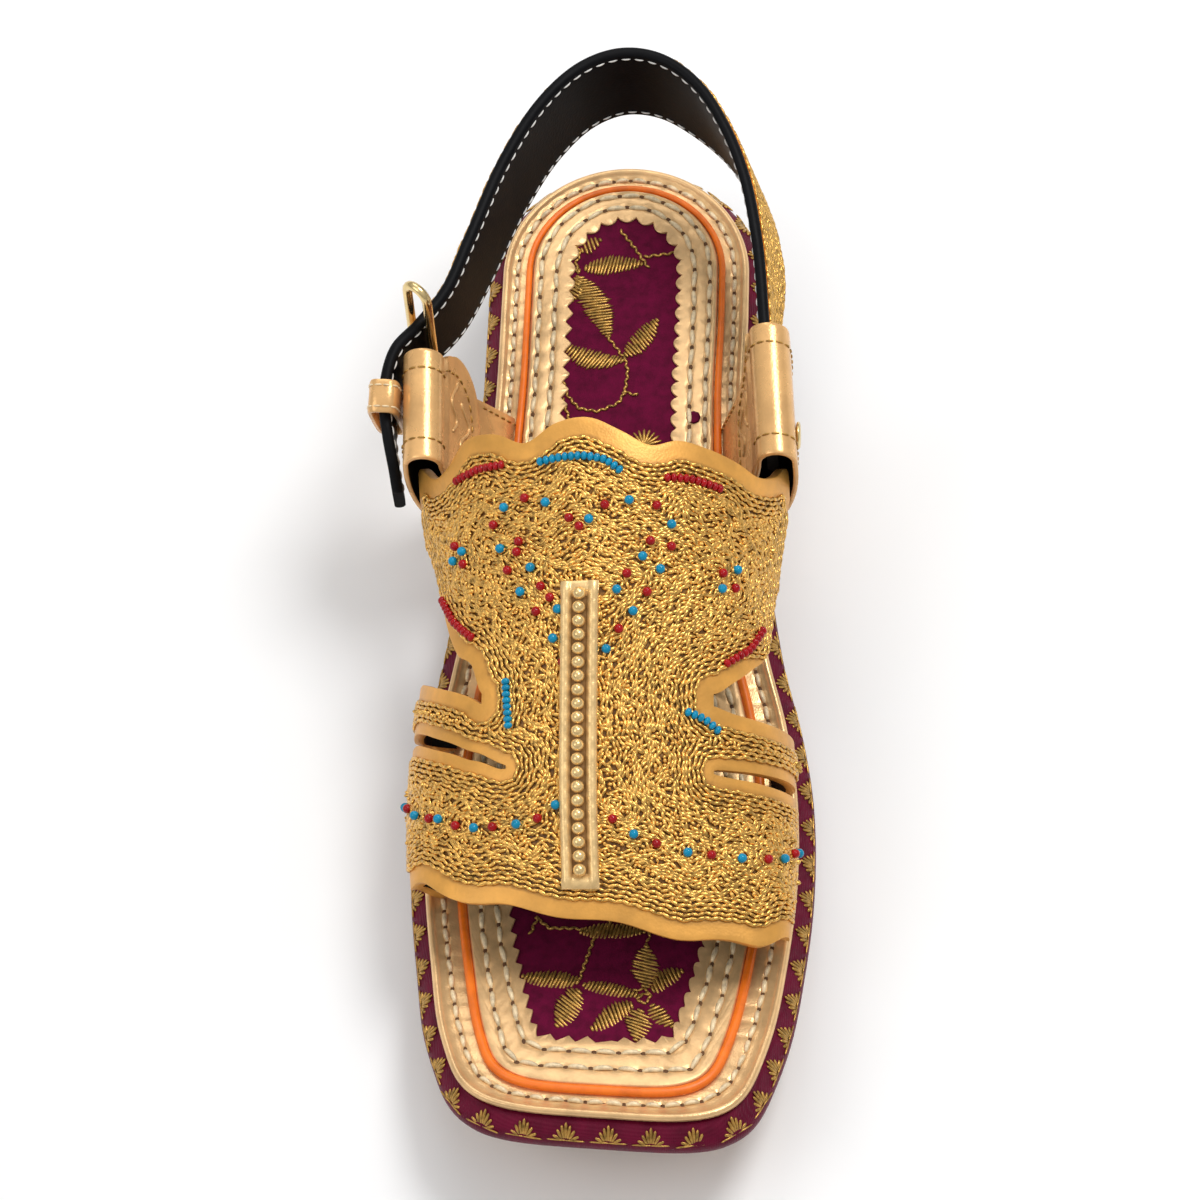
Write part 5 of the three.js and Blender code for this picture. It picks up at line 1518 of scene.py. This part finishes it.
class SANDAL_OT_centre_strip(SandalOperator, bpy.types.Operator):
    """Folded strip on the crown with its row of gold beads"""

    bl_idname = "sandal.centre_strip"
    bl_label = "Centre strip"

    def point(self, across, y, up):
        width = read(ARCH, "lateral", y) + read(ARCH, "medial", y)
        return vamp_point(STRIP_U + across / (ARCH_SWEEP * width / 2), y, -up)

    def build(self, sizes):
        half, ridge, floor = STRIP_HALF, STRIP_RIDGE, STRIP_FLOOR
        profile = np.array([(half, 0.5), (half, 1.5), (half - 0.3, 2.2), (half - 0.8, ridge - 0.1),
                            (half - 1.4, ridge), (half - 2.0, ridge - 0.15), (half - 2.5, 2.0),
                            (half - 2.8, 1.4), (1.7, floor), (0.0, floor)])
        across = np.concatenate([-profile[:, 0], profile[::-1][1:, 0]])[:, None]
        up = np.concatenate([profile[:, 1], profile[::-1][1:, 1]])[:, None]
        y = np.linspace(STRIP_FRONT, STRIP_REAR, 61)[None]
        across, up, y = np.broadcast_arrays(across, up, y)
        ends = np.minimum(y - STRIP_FRONT, STRIP_REAR - y)
        up = np.maximum(up, ridge * STRIP_END_SHARE * (ends < STRIP_END)) - 0.5 * (ends < 0.1)
        wobble = STRIP_WOBBLE * np.sin(y * STRIP_WOBBLE_RATE) * (np.abs(across) > FOLD_START)
        shape, _ = wall(self.point(across, y, up + wobble + 0.3),
                        self.point(across * 0.98, y, np.full_like(up, 0.1)))
        # Faces of the channel take the dark painted shade finish
        cells = np.abs(across[1:, 1:] + across[:-1, 1:]) / 2 < CHANNEL_HALF
        channel_shade_faces = np.zeros(len(shape[1]), int)
        cells &= (ends[1:, 1:] > CHANNEL_END) & (ends[:-1, :-1] > CHANNEL_END)
        channel_shade_faces[:cells.size] = cells.ravel()
        new_piece("folded_strip", shape, "strip channel", "gold_leather", "centre_strip",
                  face_slots=channel_shade_faces, sharp=60, bevel=0.2)
        y = np.linspace(STRIP_FRONT + 4.5, STRIP_REAR - CHANNEL_END, 60)
        line = self.point(np.zeros(60), y, np.full(60, floor + STRIP_BEAD_LIFT))
        size = sizes.strip_bead_size
        source = path_mesh([(line, arch_normal(np.full(60, STRIP_U), y), False)])
        repeat("strip_beads", source, sphere_shape(14, 9), "pearl", "gold_leather", Pitch=size * 0.99,
               Length=size, Width=size, Height=size)


class SANDAL_OT_posts(SandalOperator, bpy.types.Operator):
    """Folded side posts with their hems and stitches"""

    bl_idname = "sandal.posts"
    bl_label = "Side posts"

    def build(self, sizes):
        rows, seams = [], []
        for name, post in POSTS.items():
            along = np.linspace(0, 1, 31)
            middle, out = post_grid(post, along)
            skins = (above_bed(middle + out * sign * POST_WALL / 2) for sign in (1, -1))
            shape, is_inner = wall(*skins)
            new_piece(name + "_leather", shape, "post lining", "gold_leather", name,
                      face_slots=is_inner, bevel=0.45)
            rounded = np.sin(np.linspace(0, math.pi / 2, 41))
            v, t = rounded[:, None], np.linspace(0, 1, 13)[None]
            shares, places = np.broadcast_arrays(flap_edge(v) * t, v)
            face, out = flap_face(post, shares, places)
            lift = (POST_WALL / 2 - 0.1 + FLAP_LAYER * smoothstep(t, 0, 0.25))[..., None]
            shape, _ = wall(face + out * lift, face + out * (POST_WALL / 2 - 0.3))
            new_piece(name + "_flap", shape, "post", "gold_leather", bevel=0.3)

            hem = POST_HEM / (post["y"][1] - post["y"][0])
            over, foot = slice(2, -14), slice(-5, None)
            for share, part in ((hem, over), (1 - hem, over), (0.93, foot)):
                middle, out = (grid[part, 0] for grid in post_grid(post, [share]))
                rows.append((middle + out * (POST_WALL / 2 + 0.1), out, False))
            inside = np.maximum(flap_edge(rounded) - FLAP_HEM, 0.01)
            face, out = flap_face(post, inside, 0.04 + 0.84 * rounded)
            rows.append((face + out * (POST_WALL / 2 + FLAP_LAYER), out, False))
            for share, swing, start in SEAM_CURVES:
                t = np.linspace(0, 1, 40)
                shares = share + swing * np.sin(SEAM_WAVES * math.pi * t)
                face, out = flap_face(post, shares, start + SEAM_RUN * t)
                seams.append((face + out * (POST_WALL / 2 + FLAP_LAYER - 0.1), out, False))
        repeat("post_seams", path_mesh(seams), grain_shape(), "post", "gold_leather", Pitch=0.5,
               Length=2.2, Width=1.4, Height=1.1)
        repeat("post_stitches", path_mesh(rows), stitch_shape(), "leaf", "gold_leather", Pitch=2.7,
               Length=2.1, Width=0.55, Height=0.5)


class SANDAL_OT_back_strap(SandalOperator, bpy.types.Operator):
    """Back strap: black lining with white stitches, embroidered face and leather tail"""

    bl_idname = "sandal.back_strap"
    bl_label = "Back strap"

    def build(self, sizes):
        share = np.linspace(0, 1, 261)
        centre, outward, upward, height = strap_frame(share)
        half = height / 2
        arc = np.radians([8, 30, 55, 75])
        low = [(-math.sin(a), -1, -math.cos(a)) for a in arc]
        rows = [(-1, k, 0) for k in np.linspace(-1, 1, 9)]
        high = [(-math.sin(a), 1, math.cos(a)) for a in arc[::-1]]
        near = np.array(low + rows + high)
        section = np.concatenate([near, near[::-1] * [-1, 1, 1]])
        out = section[:, 0] * STRAP_WALL / 2
        up = section[None, :, 1] * (half - STRAP_EDGE)[:, None] + section[None, :, 2] * STRAP_EDGE
        loops = (centre[:, None] + outward[:, None] * out[None, :, None]
                 + upward[:, None] * up[..., None])
        points, faces = plate(list(loops))
        slots = np.zeros(len(faces), int)
        face_row = np.tile(np.arange(len(section)), len(share) - 1)
        face_share = np.repeat(share[:-1], len(section))
        outer = (face_row >= len(near) + len(low)) & (face_row < len(section) - len(high) - 1)
        slots[:len(face_row)] = np.where(outer, np.where(face_share > TAIL_SHARE, 1, 2), 0)
        new_piece("heel_strap", (points, faces), "lining post border", "black_leather", "back_strap",
                  face_slots=slots, sharp=50)

        rng = np.random.default_rng(sizes.seed)
        part = np.linspace(0.02, TAIL_SHARE - 0.035, 220)
        centre, outward, upward, height = strap_frame(part)
        room = height / 2 - STRAP_MARGIN
        rows = []
        face = outward * (STRAP_WALL / 2 + STRAP_CORD_LIFT)
        for level in np.linspace(-1, 1, STRAP_ROWS):
            cloth = np.stack([part * STRAP_LENGTH, np.full_like(part, level * 12)], -1)
            drift = waves(cloth, *STRAP_WAVES, rng) * STRAP_WANDER
            rows.append((centre + upward * (level * room + drift)[:, None] + face, outward, False))
        repeat("strap_cord", path_mesh(rows), grain_shape(), "thread", "black_leather",
               Pitch=sizes.chain_length * 0.76, Length=sizes.chain_length, Width=sizes.chain_width,
               Height=1.0, Tilt=0.28, Jitter=0.14)

        part = np.linspace(0.03, 0.93, 300)
        centre, outward, upward, height = strap_frame(part)
        face = centre - outward * (STRAP_WALL / 2 + 0.05)
        reach = upward * (height / 2 - LINING_MARGIN)[:, None]
        rows = [(face + side * reach, -outward, False) for side in (-1, 1)]
        repeat("lining_stitches", path_mesh(rows), stitch_shape(), "white", "black_leather",
               Pitch=sizes.lining_pitch, Length=sizes.lining_pitch * 0.7, Width=0.52, Height=0.5)


class SANDAL_OT_hardware(SandalOperator, bpy.types.Operator):
    """Buckle of round wire, leather keeper and brass eyelets"""

    bl_idname = "sandal.hardware"
    bl_label = "Buckle, keeper and eyelets"

    def build(self, sizes):
        along = np.array([math.cos(BUCKLE_TURN), math.sin(BUCKLE_TURN), 0.0])
        up = unit(np.array([0.0, BUCKLE_LEAN, 1.0]))
        normal = unit(np.cross(along, up))
        radius = BUCKLE_SPREAD / 2
        straight = BUCKLE_HEIGHT / 2 - radius - WIRE_RADIUS
        path = []
        for end in (1, -1):
            for angle in np.linspace(0, math.pi, 15) + (0 if end > 0 else math.pi):
                path.append(BUCKLE_CENTRE + along * radius * math.cos(angle)
                            + up * (end * straight + radius * math.sin(angle)))
        path = even_loop(np.array(path), 1.0)
        side = unit(np.cross(unit(loop_along(path)), normal))
        section = [(WIRE_RADIUS * math.cos(a), WIRE_RADIUS * math.sin(a)) for a in full_turn(14)]
        new_piece("wire_buckle", bar(path, section, side, normal), "brass", "brass", "buckle", sharp=60)

        centre, outward, _, height = (value[0] for value in strap_frame(np.array([KEEPER_SHARE])))
        before, after = strap_curve([KEEPER_SHARE - 1e-3, KEEPER_SHARE + 1e-3])
        up = unit(np.cross(unit(after - before), outward))
        tall = height / 2 + KEEPER_CLEARANCE + KEEPER_WALL / 2
        deep = STRAP_WALL / 2 + KEEPER_CLEARANCE + KEEPER_WALL / 2
        turn = np.linspace(0, 2 * math.pi, 240, endpoint=False)
        shape = np.stack([np.sign(wave) * np.abs(wave)**KEEPER_ROUNDING * reach
                          for wave, reach in ((np.cos(turn), deep), (np.sin(turn), tall))], -1)
        path = even_loop(centre + shape[:, :1] * outward + shape[:, 1:] * up, 0.7)
        axis = unit(np.cross(outward, up))
        side = unit(np.cross(unit(loop_along(path)), axis))
        half, wide = KEEPER_WALL / 2, KEEPER_WIDTH / 2
        section = [(half, -wide + 0.5), (half, wide - 0.5), (half - 0.3, wide), (-half + 0.3, wide),
                   (-half, wide - 0.5), (-half, -wide + 0.5), (-half + 0.3, -wide), (half - 0.3, -wide)]
        new_piece("leather_keeper", bar(path, section, side, axis), "post", "gold_leather", "keeper",
                  sharp=50)
        out = unit(path - centre - ((path - centre) @ up)[:, None] * up * 0.8)
        rows = [(path + out * (half + 0.05) + axis * shift, out, True)
                for shift in (-wide + KEEPER_MARGIN, wide - KEEPER_MARGIN)]
        repeat("keeper_stitches", path_mesh(rows), stitch_shape(), "sewing", "gold_leather", Pitch=2.6,
               Length=2.1, Width=0.55, Height=0.5)

        post = POSTS["post_medial"]
        turn = full_turn(32)
        for name, (share, y, outer, bore) in EYELETS.items():
            v = (y - post["y"][0]) / (post["y"][1] - post["y"][0])
            spot = post_wall(post, "outer", share, v)
            climb = spot - post_wall(post, "outer", share - 0.05, v)
            climb[1] = 0
            climb = unit(climb)
            normal = np.array([climb[2], 0.0, -climb[0]])
            middle, thick = (outer + bore) / 2, (outer - bore) / 2
            section = [(middle + thick * math.cos(a), EYELET_RISE * math.sin(a)) for a in full_turn(12)]
            seat = spot + normal * (POST_WALL / 2 + EYELET_SEAT)
            circle = np.cos(turn)[:, None] * climb + np.sin(turn)[:, None] * np.array([0.0, 1.0, 0.0])
            loops = [seat + circle * r + normal * h for r, h in section]
            new_piece("ring_" + name, ring(loops), "brass", "brass", name, sharp=60)


class SANDAL_OT_stage(bpy.types.Operator):
    """Pale floor, soft studio lights and the camera"""

    bl_idname = "sandal.stage"
    bl_label = "Stage"

    def light(self, name, place, size, power):
        lamp = bpy.data.lights.new(name, "AREA")
        lamp.shape = "DISK"
        lamp.size = size
        lamp.energy = power
        lamp_object = bpy.data.objects.new(name, lamp)
        lamp_object.location = place
        lamp_object.rotation_euler = (-Vector(place)).to_track_quat("-Z", "Y").to_euler()
        bpy.context.scene.collection.objects.link(lamp_object)

    def execute(self, context):
        edge = [(FLOOR_RADIUS * math.cos(a), FLOOR_RADIUS * math.sin(a), FLOOR_Z)
                for a in full_turn(64)]
        mesh = bpy.data.meshes.new("floor")
        mesh.from_pydata(edge, [], [list(range(len(edge)))])
        mesh.materials.append(surface("pale_floor", (0.92, 0.92, 0.92), 0.99, 400.0, 20.0, 0.02,
                                      (0.6, 0.65), "NOISE"))
        add_object("floor", mesh)

        world = bpy.data.worlds.new("studio")
        world.use_nodes = True
        tree = world.node_tree
        way = add_node(tree, "ShaderNodeTexCoord").outputs["Generated"]
        up = add_node(tree, "ShaderNodeSeparateXYZ", links={"Vector": way}).outputs["Z"]
        sky = ramp_node(tree, up, [(height, (grey,) * 3) for height, grey in SKY])
        tree.links.new(sky, tree.nodes["Background"].inputs["Color"])
        context.scene.world = world
        context.scene.view_settings.view_transform = "Standard"
        for name, settings in LIGHTS.items():
            self.light(name, *settings)

        lens = bpy.data.cameras.new("camera")
        lens.lens = CAMERA_LENS
        lens.sensor_width = 36.0
        camera = bpy.data.objects.new("camera", lens)
        camera.location = metres(CAMERA_PLACE)
        level = Euler((math.pi / 2 - CAMERA_ELEVATION, 0.0, 0.0)).to_quaternion()
        ahead = level @ Vector((0.0, 0.0, -1.0))
        aim = level @ Vector((*CAMERA_SLOPE, -1.0))
        camera.rotation_euler = (ahead.rotation_difference(aim) @ level).to_euler()
        context.scene.collection.objects.link(camera)
        context.scene.camera = camera
        return {"FINISHED"}


BUILDERS = (SANDAL_OT_stage, SANDAL_OT_tread, SANDAL_OT_outsole, SANDAL_OT_edge_band, SANDAL_OT_footbed,
            SANDAL_OT_insert_embroidery, SANDAL_OT_vamp, SANDAL_OT_vamp_embroidery, SANDAL_OT_beads,
            SANDAL_OT_centre_strip, SANDAL_OT_posts, SANDAL_OT_back_strap, SANDAL_OT_hardware)


class SANDAL_PT_sidebar(bpy.types.Panel):
    """Sizes, colours and builders of the sandal"""

    bl_idname = "SANDAL_PT_sidebar"
    bl_label = "Sandal"
    bl_space_type = "VIEW_3D"
    bl_region_type = "UI"
    bl_category = "Sandal"

    def draw(self, context):
        for group in (context.scene.sandal_sizes, context.scene.sandal_colours):
            for key in group.__annotations__:
                self.layout.prop(group, key)
        for builder in BUILDERS:
            self.layout.operator(builder.bl_idname)


CLASSES = (SandalSizes, SandalColours, *BUILDERS, SANDAL_PT_sidebar)


def register():
    for item in CLASSES:
        bpy.utils.register_class(item)
    bpy.types.Scene.sandal_sizes = PointerProperty(type=SandalSizes)
    bpy.types.Scene.sandal_colours = PointerProperty(type=SandalColours)


def unregister():
    del bpy.types.Scene.sandal_colours
    del bpy.types.Scene.sandal_sizes
    for item in reversed(CLASSES):
        bpy.utils.unregister_class(item)


def main():
    register()
    make_finishes(bpy.context.scene.sandal_colours)
    for builder in BUILDERS:
        group, name = builder.bl_idname.split(".")
        getattr(getattr(bpy.ops, group), name)()


if __name__ == "__main__":
    main()
